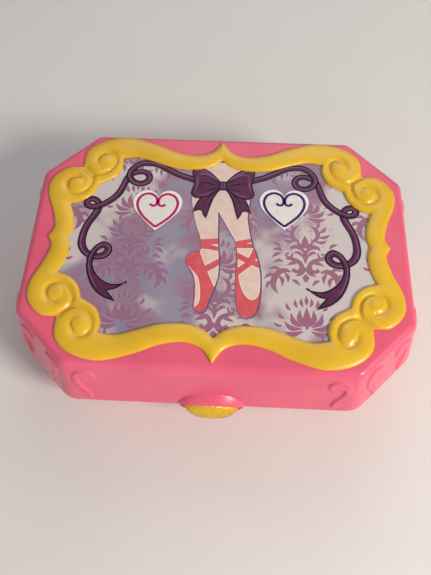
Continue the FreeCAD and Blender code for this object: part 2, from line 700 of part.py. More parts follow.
def mainspring():
    """A flat spiral strip between the arbor and the drum wall."""
    turns, inner_r, outer_r, thick = 7, 3.2, 10.4, 0.35
    sides = []
    for grow in (0, thick):
        points = []
        steps = turns * 12
        for n in range(steps + 1):
            a = 2 * math.pi * turns * n / steps
            r = inner_r + (outer_r - inner_r) * n / steps + grow
            points.append(V(r * math.cos(a), SY + r * math.sin(a), BARREL_LOW + 1.3))
        curve = Part.BSplineCurve()
        curve.interpolate(points)
        sides.append(curve.toShape())
    caps = [Part.makeLine(sides[0].Vertexes[n].Point, sides[1].Vertexes[n].Point) for n in (0, 1)]
    ring = Part.Wire(Part.__sortEdges__(sides + caps))
    return Part.Face(ring).extrude(V(0, 0, 6.8))


def contrate_wheel():
    """The crown wheel that the barrel's rim turns: teeth point at the barrel."""
    pitch_r = RIM_PITCH_R * CONTRATE_TEETH / RIM_TEETH
    disc = along_x(5.4, SY, DRUM_Z, 14.6, 15.8)
    tooth = box(13.2, 14.9, -0.3 + SY, 0.3 + SY, DRUM_Z - pitch_r - 0.8, DRUM_Z - pitch_r + 0.8)
    teeth = [turned(tooth, 360.0 * n / CONTRATE_TEETH, V(0, SY, DRUM_Z), X_AXIS)
             for n in range(CONTRATE_TEETH)]
    return fuse(disc, *teeth).cut(along_x(CYLINDER_ARBOR_R, SY, DRUM_Z, 13, 17))


def cylinder_arbor():
    return along_x(CYLINDER_ARBOR_R, SY, DRUM_Z, 14.6, 45.6)


def note_rows():
    """A made-up pattern: each comb tooth's pins round the drum, as (row, degrees)."""
    notes = []
    for row in range(COMB_TEETH):
        for beat in range(3):
            notes.append((row, (row * 47 + beat * 121 + 20 * (row % 3)) % 360))
    return notes


def row_x(row):
    return (DRUM_X0 + DRUM_X1) / 2 + (row - (COMB_TEETH - 1) / 2) * COMB_STEP


def note_cylinder():
    drum = along_x(DRUM_R, SY, DRUM_Z, DRUM_X0, DRUM_X1)
    hollow = along_x(DRUM_R - 1.0, SY, DRUM_Z, DRUM_X0 + 1.2, DRUM_X1 - 1.2)
    drum = drum.cut([hollow, along_x(CYLINDER_ARBOR_R, SY, DRUM_Z, DRUM_X0 - 1, DRUM_X1 + 1)])
    pins = []
    for row, degrees in note_rows():
        pin = upright(0.25, row_x(row), SY, DRUM_Z + DRUM_R - 0.4, DRUM_Z + DRUM_R + PIN_H)
        pins.append(turned(pin, degrees, V(0, SY, DRUM_Z), X_AXIS))
    return drum.multiFuse(pins)


def cylinder_brackets():
    """The two plates that carry the ends of the cylinder's arbor."""
    brackets = []
    for x0 in (16.4, 42.6):
        plate = box(x0, x0 + 1.0, SY - 3.5, SY + 3.5, BED_TOP, DRUM_Z + 2.5)
        brackets.append(plate.cut(along_x(CYLINDER_ARBOR_R + RUNNING, SY, DRUM_Z, x0 - 1, x0 + 2)))
    return group(brackets)


def cylinder_gear():
    pitch_r = DRIVE_TEETH * DRIVE_MODULE / 2
    wheel = gear(DRIVE_TEETH, pitch_r - 0.5, pitch_r + 0.33, 0.36, 0.2, 1.2)
    wheel = gear_along_x(wheel, 44.0, SY, DRUM_Z, 90 + 180.0 / DRIVE_TEETH)
    return wheel.cut(along_x(CYLINDER_ARBOR_R, SY, DRUM_Z, 43, 46))


GOVERNOR_Y = SY + (DRIVE_TEETH + PINION_TEETH) * DRIVE_MODULE / 2


def governor_arbor():
    """The arbor with the small pinion that the cylinder's gear turns."""
    pitch_r = PINION_TEETH * DRIVE_MODULE / 2
    pinion = gear(PINION_TEETH, pitch_r - 0.5, pitch_r + 0.33, 0.36, 0.2, 1.4)
    pinion = gear_along_x(pinion, 43.9, GOVERNOR_Y, DRUM_Z, -90)
    return fuse(along_x(GOVERNOR_ARBOR_R, GOVERNOR_Y, DRUM_Z, 42.4, 51.2), pinion)


def governor_wheel():
    pitch_r = WHEEL_TEETH * WORM_PITCH / (2 * math.pi)
    wheel = gear(WHEEL_TEETH, pitch_r - 0.55, pitch_r + 0.4, 0.32, 0.2, 0.9)
    wheel = gear_along_x(wheel, WORM_X - 0.45, GOVERNOR_Y, DRUM_Z, 90)
    return wheel.cut(along_x(GOVERNOR_ARBOR_R, GOVERNOR_Y, DRUM_Z, 46, 50))


def governor_frame():
    """The C-shaped bracket round the worm, with arms for the governor's arbor."""
    back = SY + 19.0
    x0, x1 = 42.2, 51.4
    wall = box(x0, x1, back, back + 1.0, BED_TOP, 31.5)
    low = box(x0 + 2, x1, SY + 11.5, back + 0.5, BED_TOP, 15.9)
    high = box(x0 + 2, x1, SY + 11.5, back + 0.5, 30.2, 31.5)
    arms = [box(x, x + 1.0, SY + 7.4, back + 0.5, DRUM_Z - 2.4, DRUM_Z + 2.4) for x in (x0, x1 - 1.0)]
    frame = fuse(wall, low, high, *arms)
    return frame.cut([along_x(GOVERNOR_ARBOR_R + RUNNING, GOVERNOR_Y, DRUM_Z, x0 - 1, x1 + 1),
                      upright(FAN_SHAFT_R + RUNNING, WORM_X, WORM_Y, 15.0, 31.0)])


def worm_fan():
    """The upright governor shaft: a three-start worm and two air vanes."""
    low, high = 20.8, 26.2
    lead = WORM_STARTS * WORM_PITCH
    root_r, tip_r = 1.2, 2.0
    points = []
    for n in range(WORM_STARTS):
        middle = 2 * math.pi * n / WORM_STARTS
        for r, side in ((root_r, -0.62), (tip_r, -0.3), (tip_r, 0.3), (root_r, 0.62)):
            points.append(V(r * math.cos(middle + side), r * math.sin(middle + side), 0))
    star = Part.makePolygon(points + [points[0]])
    spine = Part.Wire(Part.makeLine(V(0, 0, 0), V(0, 0, high - low)))
    guide = Part.Wire(Part.makeHelix(lead, high - low, 1.0))
    sweep = Part.BRepOffsetAPI.MakePipeShell(spine)
    sweep.setAuxiliarySpine(guide, True, 0)
    sweep.add(star)
    sweep.build()
    sweep.makeSolid()
    worm = sweep.shape()
    worm.translate(V(WORM_X, WORM_Y, low))
    shaft = upright(FAN_SHAFT_R, WORM_X, WORM_Y, 15.1, 30.9)
    vanes = box(WORM_X - 3.5, WORM_X + 3.5, WORM_Y - 0.25, WORM_Y + 0.25, 27.0, 29.4)
    return fuse(shaft, worm, vanes)


def comb():
    """The steel comb: its teeth end just clear of the drum's pins, and grow shorter row by row."""
    x0, x1 = row_x(0) - COMB_STEP / 2, row_x(COMB_TEETH - 1) + COMB_STEP / 2
    plate = box(x0, x1, COMB_BACK_Y, COMB_TIP_Y, DRUM_Z - 0.4, DRUM_Z + 0.4)
    slots = []
    for n in range(1, COMB_TEETH):
        x, deep = x0 + n * COMB_STEP, 4.0 + 0.35 * n
        slots.append(box(x - 0.12, x + 0.12, COMB_TIP_Y - deep, COMB_TIP_Y + 1, DRUM_Z - 1, DRUM_Z + 1))
    holes = [upright(1.2, x, COMB_SCREW_Y, DRUM_Z - 1, DRUM_Z + 1) for x in COMB_SCREW_X]
    return plate.cut(slots + holes)


def comb_seat():
    """The raised block that the comb is clamped to."""
    seat = box(19.0, 41.0, COMB_BACK_Y, COMB_TIP_Y - 11.2, BED_TOP, DRUM_Z - 0.4)
    return seat.cut([upright(1.2, x, COMB_SCREW_Y, DRUM_Z - 6, DRUM_Z) for x in COMB_SCREW_X])


def comb_screws():
    return group([screw(x, COMB_SCREW_Y, DRUM_Z + 0.4, 1.2, 2.2, 1.3, 5.0) for x in COMB_SCREW_X])


# ---------------------------------------------------------------- stop rod

def stop_rod():
    """The rod that the closed lid holds down, so that its foot stands at the fan."""
    return fuse(upright(1.0, STOP_X, STOP_Y, 10.5, 44.0), upright(2.2, STOP_X, STOP_Y, 24.0, 25.0),
                box(WORM_X + 4.4, STOP_X, STOP_Y - 0.5, STOP_Y + 0.5, 28.0, 29.0))


def stop_spring():
    return coil(1.75, 0.3, 1.5, 7.0, V(STOP_X, STOP_Y, 16.5), Z_AXIS)


NODES = [base_shell, feet, stage_tray, case_screws, hinge_pins, bedplate, movement_screws,
         barrel_bridge, cylinder_brackets, comb, comb_seat, comb_screws, click_spring,
         governor_frame, latch_spring, stop_spring, lid_shell, lid_frame, picture_panel,
         heart_stickers, lid_liner, mirror, lid_screws, latch_button, latch_hook, winding_knob,
         winding_arbor, spring_barrel, barrel_cover, mainspring, spindle, turntable, dancer_pin,
         dancer_spring, dancer_figure, dancer_tutu, cylinder_arbor, note_cylinder,
         contrate_wheel, cylinder_gear, governor_arbor, governor_wheel, worm_fan, stop_rod]


def main():
    os.makedirs("parts", exist_ok=True)
    for make in NODES:
        save(make.__name__, make())
    save("button_emblem", emblem_block())


main()
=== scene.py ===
"""Looks for the wind-up music box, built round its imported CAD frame.

Shapes are worked out in millimetres and written to the meshes in metres. The lid is closed at rest:
+X runs along the case, -Y points at the latch button, +Z is up.
"""
import math

import bpy
import numpy as np
from mathutils import Matrix, Vector, geometry


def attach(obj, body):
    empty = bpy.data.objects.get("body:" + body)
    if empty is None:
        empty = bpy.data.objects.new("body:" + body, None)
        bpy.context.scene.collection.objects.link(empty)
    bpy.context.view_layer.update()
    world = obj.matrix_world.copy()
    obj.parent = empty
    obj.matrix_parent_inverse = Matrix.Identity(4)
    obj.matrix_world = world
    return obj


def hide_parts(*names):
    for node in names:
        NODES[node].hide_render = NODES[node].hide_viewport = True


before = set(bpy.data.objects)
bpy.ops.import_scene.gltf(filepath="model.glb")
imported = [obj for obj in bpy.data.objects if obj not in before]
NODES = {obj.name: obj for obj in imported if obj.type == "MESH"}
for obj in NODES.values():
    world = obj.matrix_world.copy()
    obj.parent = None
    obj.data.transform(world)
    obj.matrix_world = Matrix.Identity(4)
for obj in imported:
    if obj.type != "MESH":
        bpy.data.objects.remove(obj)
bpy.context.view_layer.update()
MM = 0.001

# The case, as in the CAD: half sizes at the lid's top, with TOP_SUM for its cut corners; its levels, how
# far the lid's wall leans out, and the thickness of wall and roof
TOP_X, TOP_Y, TOP_SUM = 95.9, 68.0, 137.2
PARTING, LID_TOP, LID_FLARE, WALL, ROOF = 28.0, 62.6, 6.2, 2.2, 2.5
# The hinges: pin line, places along X, and each knuckle's radius, half length, spacing and clearance
HINGE_Y, HINGE_Z, HINGE_X, KNUCKLE_R = 77.3, 28.0, 46.0, 3.5
KNUCKLE_HALF, KNUCKLE_STEP, GAP = 2.6, 6.0, 0.4
BUTTON_LEVEL = 28.0             # middle of the latch button
PIVOT_Y, PIVOT_Z = 4.0, 46.0    # the pin that the dancer stands up on


# ---------------------------------------------------------------- meshes

def mesh_object(name, points, faces, sharp=None):
    """A mesh object from points in millimetres; sharp is the angle above which edges stay hard."""
    mesh = bpy.data.meshes.new(name)
    mesh.from_pydata([(x * MM, y * MM, z * MM) for x, y, z in points], [], faces)
    mesh.update()
    mesh.polygons.foreach_set("use_smooth", [True] * len(mesh.polygons))
    if sharp:
        mesh.set_sharp_from_angle(angle=math.radians(sharp))
    piece = bpy.data.objects.new(name, mesh)
    bpy.context.scene.collection.objects.link(piece)
    return piece


def dress(piece, material, body, slot, *replaced):
    """Gives a piece its material and its body, and hides the CAD nodes that it stands for; the slot is not
    used.
    """
    piece.data.materials.clear()
    piece.data.materials.append(material)
    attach(piece, body)
    if replaced:
        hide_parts(*replaced)
    return piece


class Parts:
    """Collects points and faces of several shapes into one mesh."""

    def __init__(self):
        self.points, self.faces = [], []

    def add(self, points, faces):
        start = len(self.points)
        self.points += [tuple(p) for p in points]
        self.faces += [tuple(start + i for i in face) for face in faces]

    def build(self, name, sharp=30):
        return mesh_object(name, self.points, self.faces, sharp)


def smooth_run(points, step=1.0, closed=False):
    """Points along a smooth curve through the given ones, about a step apart."""
    pts = np.array(points, float)
    count = len(pts)
    out = []
    for i in range(count if closed else count - 1):
        if closed:
            p0, p1, p2, p3 = (pts[(i + k) % count] for k in (-1, 0, 1, 2))
        else:
            p1, p2 = pts[i], pts[i + 1]
            p0 = pts[i - 1] if i else 2 * p1 - p2
            p3 = pts[i + 2] if i + 2 < count else 2 * p2 - p1
        pieces = max(1, int(round(np.linalg.norm((p2 - p1)[:2]) / step)))
        for k in range(pieces):
            t = k / pieces
            out.append(0.5 * (2 * p1 + (p2 - p0) * t + (2 * p0 - 5 * p1 + 4 * p2 - p3) * t ** 2
                              + (3 * p1 - p0 - 3 * p2 + p3) * t ** 3))
    if not closed:
        out.append(pts[-1])
    return np.array(out)


def outline(runs, step=1.0):
    """A closed loop of smooth runs that meet at corners."""
    return np.vstack([smooth_run(run, step)[:-1] for run in runs])


CHUNK = 1500                    # points measured at a time, to keep the arrays small


def chunks(points):
    return np.array_split(points, max(1, len(points) // CHUNK))


def segment_ends(loop, closed):
    a = np.asarray(loop, float)[:, :2]
    return (a, np.roll(a, -1, axis=0)) if closed else (a[:-1], a[1:])


def nearest(points, loop, closed=True):
    """Distance from each point to a polyline, and the nearest point on it."""
    a, b = segment_ends(loop, closed)
    along = b - a
    length2 = (along ** 2).sum(1) + 1e-12
    dist, spots = [], []
    for chunk in chunks(points):
        t = np.clip(((chunk[:, None] - a) * along).sum(2) / length2, 0, 1)
        spot = a + t[..., None] * along
        d = np.linalg.norm(chunk[:, None] - spot, axis=2)
        best = d.argmin(1)
        rows = np.arange(len(chunk))
        dist.append(d[rows, best])
        spots.append(spot[rows, best])
    return np.concatenate(dist), np.concatenate(spots)


def inside(points, loop):
    """Whether each point lies inside a closed loop."""
    a, b = segment_ends(loop, True)
    result = []
    for chunk in chunks(points):
        x, y = chunk[:, 0:1], chunk[:, 1:2]
        spans = (a[:, 1] > y) != (b[:, 1] > y)
        rise = np.where(b[:, 1] == a[:, 1], 1e-12, b[:, 1] - a[:, 1])
        cross = a[:, 0] + (y - a[:, 1]) * (b[:, 0] - a[:, 0]) / rise
        result.append((spans & (x < cross)).sum(1) % 2 == 1)
    return np.concatenate(result)


def fill(loops, spare=()):
    """Triangles inside the first loop and outside the others, through any spare points."""
    points, edges = [], []
    for loop in loops:
        start, count = len(points), len(loop)
        points += [Vector((float(p[0]), float(p[1]))) for p in loop]
        edges += [(start + i, start + (i + 1) % count) for i in range(count)]
    points += [Vector((float(x), float(y))) for x, y in spare]
    found = geometry.delaunay_2d_cdt(points, edges, [], 0, 1e-6)
    flat = np.array([tuple(p) for p in found[0]])
    triangles = np.array([tuple(t) for t in found[2]])
    middles = flat[triangles].mean(1)
    keep = inside(middles, loops[0])
    for hole in loops[1:]:
        keep &= ~inside(middles, hole)
    return flat, [tuple(int(i) for i in t) for t in triangles[keep]]


def plate(parts, loops, low, high, spare=()):
    """A closed plate; low and high are levels, or functions of the flat points."""
    flat, triangles = fill(loops, spare)
    count = len(flat)
    points = []
    for face in (high, low):
        levels = face(flat) if callable(face) else np.full(count, face)
        points += [(x, y, z) for (x, y), z in zip(flat, levels)]
    faces = list(triangles) + [tuple(count + i for i in reversed(t)) for t in triangles]
    edges = {(t[i], t[(i + 1) % 3]): True for t in triangles for i in range(3)}
    faces += [(b, a, count + a, count + b) for a, b in edges if (b, a) not in edges]
    used = sorted({i for face in faces for i in face})
    place = {old: new for new, old in enumerate(used)}
    parts.add([points[i] for i in used], [tuple(place[i] for i in face) for face in faces])


def stroke(parts, path, thick=0.02, extra=0.0, share=1.0, shift=0.0, lift=0.0, step=0.8):
    """A flat band along a smooth path of (x, y, width, level), closed all round.

    extra widens it, share scales its width, shift moves it sideways by a share of its width.
    """
    run = smooth_run(path, step)
    flow = np.gradient(run[:, :2], axis=0)
    flow /= np.linalg.norm(flow, axis=1)[:, None] + 1e-9
    normal = np.stack([-flow[:, 1], flow[:, 0]], 1)
    middle = run[:, :2] + normal * (shift * run[:, 2:3])
    half = np.maximum(run[:, 2] * share + extra, 0.05)[:, None] / 2
    level = run[:, 3] + lift
    left, right = middle + normal * half, middle - normal * half
    edges = ((left, 0), (right, 0), (right, thick), (left, thick))
    parts.add(*lofted([[(side[k, 0], side[k, 1], level[k] - drop) for side, drop in edges]
                       for k in range(len(run))]))


def shrink(loop, by):
    """A loop moved inwards; negative moves it outwards."""
    ahead, behind = np.roll(loop, -1, axis=0), np.roll(loop, 1, axis=0)
    flow = ahead - behind
    flow /= np.linalg.norm(flow, axis=1)[:, None] + 1e-9
    area = (loop[:, 0] * ahead[:, 1] - ahead[:, 0] * loop[:, 1]).sum()
    inward = np.stack([-flow[:, 1], flow[:, 0]], 1) * np.sign(area)
    return loop + inward * by


def lofted(rings):
    """Points and faces of a closed skin over rings of equal count, capped at both ends."""
    count = len(rings[0])
    points = [p for ring in rings for p in ring]
    faces = []
    for a in range(0, len(points) - count, count):
        b = a + count
        faces += [(a + i, a + (i + 1) % count, b + (i + 1) % count, b + i) for i in range(count)]
    faces += [tuple(reversed(range(count))), tuple(range(len(points) - count, len(points)))]
    return points, faces


def boolean(piece, tool, operation):
    """Joins or cuts a piece's mesh with a tool's, and removes the tool."""
    modifier = piece.modifiers.new("cut", "BOOLEAN")
    modifier.operation = operation
    modifier.solver = "EXACT"
    modifier.object = tool
    graph = bpy.context.evaluated_depsgraph_get()
    mesh = bpy.data.meshes.new_from_object(piece.evaluated_get(graph))
    piece.modifiers.clear()
    piece.data = mesh
    bpy.data.objects.remove(tool)


# ---------------------------------------------------------------- materials

def rgb(red, green, blue):
    """A linear colour from the 0 to 255 values of a screen."""
    values = []
    for v in (red, green, blue):
        v /= 255.0
        values.append(v / 12.92 if v <= 0.04045 else ((v + 0.055) / 1.055) ** 2.4)
    return (*values, 1.0)


class Shader:
    """A node material with a few short ways to add nodes to it."""

    def __init__(self, name, **sockets):
        self.material = bpy.data.materials.new(name)
        self.material.use_nodes = True
        self.tree = self.material.node_tree
        self.surface = self.tree.nodes["Principled BSDF"]
        for socket, value in sockets.items():
            self.surface.inputs[socket.replace("_", " ")].default_value = value
        self.coords = self.node("ShaderNodeTexCoord").outputs["Object"]

    def node(self, kind, inputs=None, **settings):
        node = self.tree.nodes.new(kind)
        for key, value in settings.items():
            setattr(node, key, value)
        for key, value in (inputs or {}).items():
            if isinstance(value, bpy.types.NodeSocket):
                self.tree.links.new(value, node.inputs[key])
            else:
                node.inputs[key].default_value = value
        return node

    def noise(self, scale, detail=3.0, rough=0.5, vector=None):
        made = self.node("ShaderNodeTexNoise", {"Vector": vector or self.coords, "Scale": scale,
                                                "Detail": detail, "Roughness": rough})
        return made.outputs["Fac"]

    def stretched(self, x, y, z):
        made = self.node("ShaderNodeMapping", {"Vector": self.coords, "Scale": (x, y, z)})
        return made.outputs["Vector"]

    def ramp(self, value, low, high, to_low=0.0, to_high=1.0):
        made = self.node("ShaderNodeMapRange", {"Value": value, "From Min": low, "From Max": high,
                                                "To Min": to_low, "To Max": to_high})
        return made.outputs["Result"]

    def math(self, operation, a, b):
        return self.node("ShaderNodeMath", {0: a, 1: b}, operation=operation).outputs[0]

    def mix(self, factor, a, b):
        """Colour a where the factor is 0 and b where it is 1; the numbers are the colour sockets."""
        return self.node("ShaderNodeMix", {0: factor, 6: a, 7: b}, data_type="RGBA").outputs[2]

    def set(self, socket, value):
        self.tree.links.new(value, self.surface.inputs[socket])

    def bump(self, height, distance, strength=1.0):
        under = self.surface.inputs["Normal"].links
        made = self.node("ShaderNodeBump", {"Height": height, "Distance": distance, "Strength": strength})
        if under:
            self.tree.links.new(under[0].from_socket, made.inputs["Normal"])
        self.set("Normal", made.outputs["Normal"])


def moulded(name, main, shade, roughness=0.32, cloud=35.0, grain=900.0, depth=0.00004, **sockets):
    """Moulded plastic: slow changes of colour, a fine skin, and fingerprints in its gloss."""
    shader = Shader(name, **sockets)
    tone = shader.ramp(shader.noise(cloud), 0.35, 0.65)
    shader.set("Base Color", shader.mix(tone, rgb(*main), rgb(*shade)))
    smear = shader.noise(160.0, 5.0, 0.6)
    shader.set("Roughness", shader.ramp(smear, 0.3, 0.7, roughness - 0.05, roughness + 0.07))
    shader.bump(shader.noise(grain, 2.0), depth)
    return shader


def metal(name, main, shade, roughness=0.28, brushed=(2500.0, 120.0, 120.0), depth=0.00002):
    """Machined metal: a brushed lay, and darker where it has aged."""
    shader = Shader(name, Metallic=1.0)
    age = shader.ramp(shader.noise(220.0, 5.0, 0.6), 0.4, 0.75)
    shader.set("Base Color", shader.mix(age, rgb(*main), rgb(*shade)))
    lay = shader.noise(1.0, 3.0, 0.6, shader.stretched(*brushed))
    shader.set("Roughness", shader.ramp(lay, 0.2, 0.8, roughness - 0.08, roughness + 0.14))
    shader.bump(lay, depth)
    return shader


def blob(shader, x, y, reach):
    """1 at a place on the lid, falling to 0 at its reach, in metres."""
    away = shader.node("ShaderNodeVectorMath", {0: shader.coords, 1: (x, y, LID_TOP * MM)},
                       operation="DISTANCE").outputs["Value"]
    return shader.ramp(away, 0.0, reach, 1.0, 0.0)


def pale_field(shader):
    """Where the printed ground is pale: a share from 0 to 1."""
    total = blob(shader, 0.052, -0.022, 0.060)
    for x, y, reach in ((-0.060, 0.034, 0.034), (-0.036, 0.046, 0.022), (-0.070, 0.000, 0.020),
                        (0.010, -0.050, 0.026), (0.066, 0.020, 0.022)):
        total = shader.math("MAXIMUM", total, blob(shader, x, y, reach))
    wander = shader.ramp(shader.noise(55.0, 3.0), 0.3, 0.7, -0.35, 0.35)
    return shader.ramp(shader.math("ADD", total, wander), 0.15, 0.55)


PRINT_GRAIN, PRINT_DEPTH = 2600.0, 0.00001


def card_shader(name):
    return Shader(name, Roughness=0.4, Coat_Weight=0.15, Coat_Roughness=0.2)


def printed(shader, dim, pale):
    """Print with a fine grain, in one tone where the ground is dim and another where it is pale."""
    shader.set("Base Color", shader.mix(pale_field(shader), dim, pale))
    shader.bump(shader.noise(PRINT_GRAIN, 2.0), PRINT_DEPTH)
    return shader.material


def printed_ground():
    """The picture's ground: slate lilac with mauve drifts, fading to warm off-white."""
    shader = card_shader("printed_ground")
    drift = shader.ramp(shader.noise(78.0, 6.0, 0.66), 0.44, 0.50)
    dim = shader.mix(drift, rgb(134, 128, 152), rgb(154, 104, 126))
    grey = shader.mix(shader.ramp(shader.noise(28.0, 2.0), 0.45, 0.65), dim, rgb(150, 142, 162))
    return printed(shader, grey, rgb(204, 192, 188))


def printed_motif():
    """Mauve damask ink, greyer where the ground is dim."""
    return printed(card_shader("printed_motif"), rgb(150, 104, 130), rgb(154, 98, 122))


def printed_edge():
    """The pale line round each damask motif."""
    return printed(card_shader("printed_edge"), rgb(156, 140, 168), rgb(222, 204, 206))


def ink(name, main, shade, roughness=0.42):
    """Flat printed ink with a slightly uneven tone."""
    shader = Shader(name, Specular_IOR_Level=0.25)
    tone = shader.ramp(shader.noise(260.0, 4.0, 0.6), 0.35, 0.65)
    shader.set("Base Color", shader.mix(tone, rgb(*main), rgb(*shade)))
    shader.set("Roughness", shader.ramp(shader.noise(140.0), 0.3, 0.7, roughness - 0.03, roughness + 0.05))
    shader.bump(shader.noise(PRINT_GRAIN, 2.0), PRINT_DEPTH)
    return shader.material


def textured_gold():
    """The thumb button: gold plastic with a fine pebbled face."""
    shader = moulded("button_gold", (236, 192, 44), (222, 168, 30), 0.34, Metallic=0.3)
    cells = shader.node("ShaderNodeTexVoronoi", {"Vector": shader.coords, "Scale": 1100.0})
    shader.bump(cells.outputs["Distance"], 0.0003)
    return shader.material


PINK = moulded("case_pink", (232, 98, 124), (225, 90, 118), 0.32,
               Coat_Weight=0.1, Specular_IOR_Level=0.4).material
YELLOW = moulded("frame_yellow", (232, 185, 36), (222, 173, 28), 0.36,
                 Coat_Weight=0.25, Coat_Roughness=0.2).material
GOLD = textured_gold()


# ---------------------------------------------------------------- lid shell

RELIEF_REACH = 16.6             # how far from an upright edge the relief is drawn
RELIEF_H = 1.1
SIDE_COLUMNS, MIDDLE_COLUMNS, ARC_COLUMNS = 30, 6, 8
WALL_ROWS, ROUND_ROWS, RIM_ROWS = 58, 8, 5
TOP_ROUND, RIM_ROUND = 4.0, 0.6
HOLLOW_LEVELS = (LID_TOP - ROOF, 44.0, PARTING)


def octagon(flare):
    """The case's eight corners, where its wall leans out by the flare."""
    x, y, total = TOP_X + flare, TOP_Y + flare, TOP_SUM + flare * math.sqrt(2)
    quarter = [(x, total - x), (total - y, y)]
    ring = quarter + [(-px, py) for px, py in reversed(quarter)]
    return np.array(ring + [(-px, -py) for px, py in ring])


def case_ring(flare, radius):
    """One level of the case: places, outward directions, and distance from an upright edge."""
    corners = octagon(flare)
    reach = radius * math.tan(math.radians(22.5))
    places, outs, edges = [], [], []
    for i, corner in enumerate(corners):
        before, after = corners[i - 1], corners[(i + 1) % 8]
        come = (corner - before) / np.linalg.norm(corner - before)
        go = (after - corner) / np.linalg.norm(after - corner)
        out0, out1 = np.array([come[1], -come[0]]), np.array([go[1], -go[0]])
        centre = corner - come * reach - out0 * radius
        for k in range(ARC_COLUMNS + 1):
            turn = k / ARC_COLUMNS
            out = out0 * (1 - turn) + out1 * turn
            out /= np.linalg.norm(out)
            places.append(centre + out * radius)
            outs.append(out)
            edges.append(reach * abs(2 * turn - 1))
        length = np.linalg.norm(after - corner)
        near = [reach + (RELIEF_REACH - reach) * k / SIDE_COLUMNS for k in range(1, SIDE_COLUMNS + 1)]
        gap = length - 2 * RELIEF_REACH
        middle = [RELIEF_REACH + gap * k / MIDDLE_COLUMNS for k in range(1, MIDDLE_COLUMNS)]
        for s in near + middle + [length - s for s in reversed(near)]:
            places.append(corner + go * s)
            outs.append(out1)
            edges.append(min(s, length - s))
    return np.array(places), np.array(outs), np.array(edges)


# The scroll beside each upright edge, as (distance from the edge, height): bulb, crest, stem and tail
SCROLL = [
    [(8.4, 50.6), (9.5, 48.6), (11.8, 47.8), (14.5, 49.8), (15.2, 53.5), (13, 57), (9.5, 58.0),
     (6.0, 56.6), (4.0, 53.6), (3.8, 49.4), (5.0, 45.0), (7.2, 40.8), (9.4, 36.8), (10.5, 33.2),
     (10.5, 30.4)],
    [(10.5, 30.4), (12.4, 32.4), (13.0, 35.6), (11.6, 39.4), (9.5, 42.8), (7.9, 46.0), (7.4, 49.0),
     (8.4, 50.6)],
]


def soft_step(x):
    """0 to 1, with no corner at either end."""
    x = np.clip(x, 0, 1)
    return x * x * (3 - 2 * x)


def scroll_height(across, level):
    """Relief over the wall: the scroll stands proud and sinks a little along its middle."""
    border = outline(SCROLL, 0.4)
    points = np.stack([across, np.full(len(across), level)], 1)
    depth, _ = nearest(points, border)
    depth = np.where(inside(points, border), depth, 0)
    return RELIEF_H * soft_step(depth / 0.9) * (1 - 0.2 * soft_step((depth - 1.6) / 2.0))


def wall_flare(z):
    """How far the lid's wall leans out at a level."""
    return LID_FLARE * (LID_TOP - z) / (LID_TOP - PARTING)


def corner_radius(z):
    return 12.0 - 6.0 * (z - PARTING) / (LID_TOP - PARTING)


def lid_profile():
    """(flare, level, corner radius, whether the relief shows) from the rim to the flat top."""
    rows = []
    for k in range(RIM_ROWS):
        a = math.pi / 2 * k / RIM_ROWS
        z = PARTING + RIM_ROUND * (1 - math.cos(a))
        rows.append((wall_flare(z) - RIM_ROUND * (1 - math.sin(a)), z, corner_radius(z), False))
    lean = math.atan(LID_FLARE / (LID_TOP - PARTING))
    low, high = PARTING + RIM_ROUND, LID_TOP - TOP_ROUND * (1 - math.sin(lean))
    for k in range(WALL_ROWS + 1):
        z = low + (high - low) * k / WALL_ROWS
        rows.append((wall_flare(z), z, corner_radius(z), True))
    middle = -TOP_ROUND * (1 - math.sin(lean)) / math.cos(lean)
    edge_r = corner_radius(high)
    for k in range(1, ROUND_ROWS + 1):
        a = lean + (math.pi / 2 - lean) * k / ROUND_ROWS
        flare = middle + TOP_ROUND * math.cos(a)
        z = LID_TOP - TOP_ROUND * (1 - math.sin(a))
        rows.append((flare, z, edge_r + flare - wall_flare(high), False))
    rows.append((middle - 0.5, LID_TOP, rows[-1][2] - 0.5, False))
    return rows


PANEL_SIDE, PANEL_END = (57.5, 53.6), (81.7, 24.0)  # the card's corners on its long side and its end
CARD_THICK = 0.6


def panel_loop(gap=0.0):
    """The outline of the card's pocket, or of the card a gap inside it."""
    quarter = [(PANEL_END[0] - gap, PANEL_END[1]), (PANEL_SIDE[0], PANEL_SIDE[1] - gap)]
    ring = quarter + [(-x, y) for x, y in reversed(quarter)]
    return np.array(ring + [(-x, -y) for x, y in ring])


def lid_body():
    """The lid's skin: relief wall, rounded top edge, flat top with the picture's pocket, hollow."""
    rings = []
    for z in HOLLOW_LEVELS:
        places, _, _ = case_ring(wall_flare(z) - WALL, corner_radius(z) - WALL)
        rings.append([(x, y, z) for x, y in places])
    for flare, z, radius, relief in lid_profile():
        places, outs, edges = case_ring(flare, radius)
        if relief:
            places = places + outs * scroll_height(edges, z)[:, None]
        rings.append([(x, y, z) for x, y in places])
    return mesh_object("lid_skin", *lofted(rings))


def prism(parts, loop, low, high):
    """A closed straight prism on a flat loop that runs anticlockwise."""
    parts.add(*lofted([[(x, y, z) for x, y in loop] for z in (low, high)]))


def tube_along_x(parts, radius, y, z, x0, x1, sides=40):
    """A cylinder along X with its faces turned in; its points stand half a step off the axes."""
    turns = [2 * math.pi * (i + 0.5) / sides for i in range(sides)]
    ring = [(y + radius * math.cos(a), z + radius * math.sin(a)) for a in turns]
    parts.add(*lofted([[(x, *place) for place in reversed(ring)] for x in (x0, x1)]))


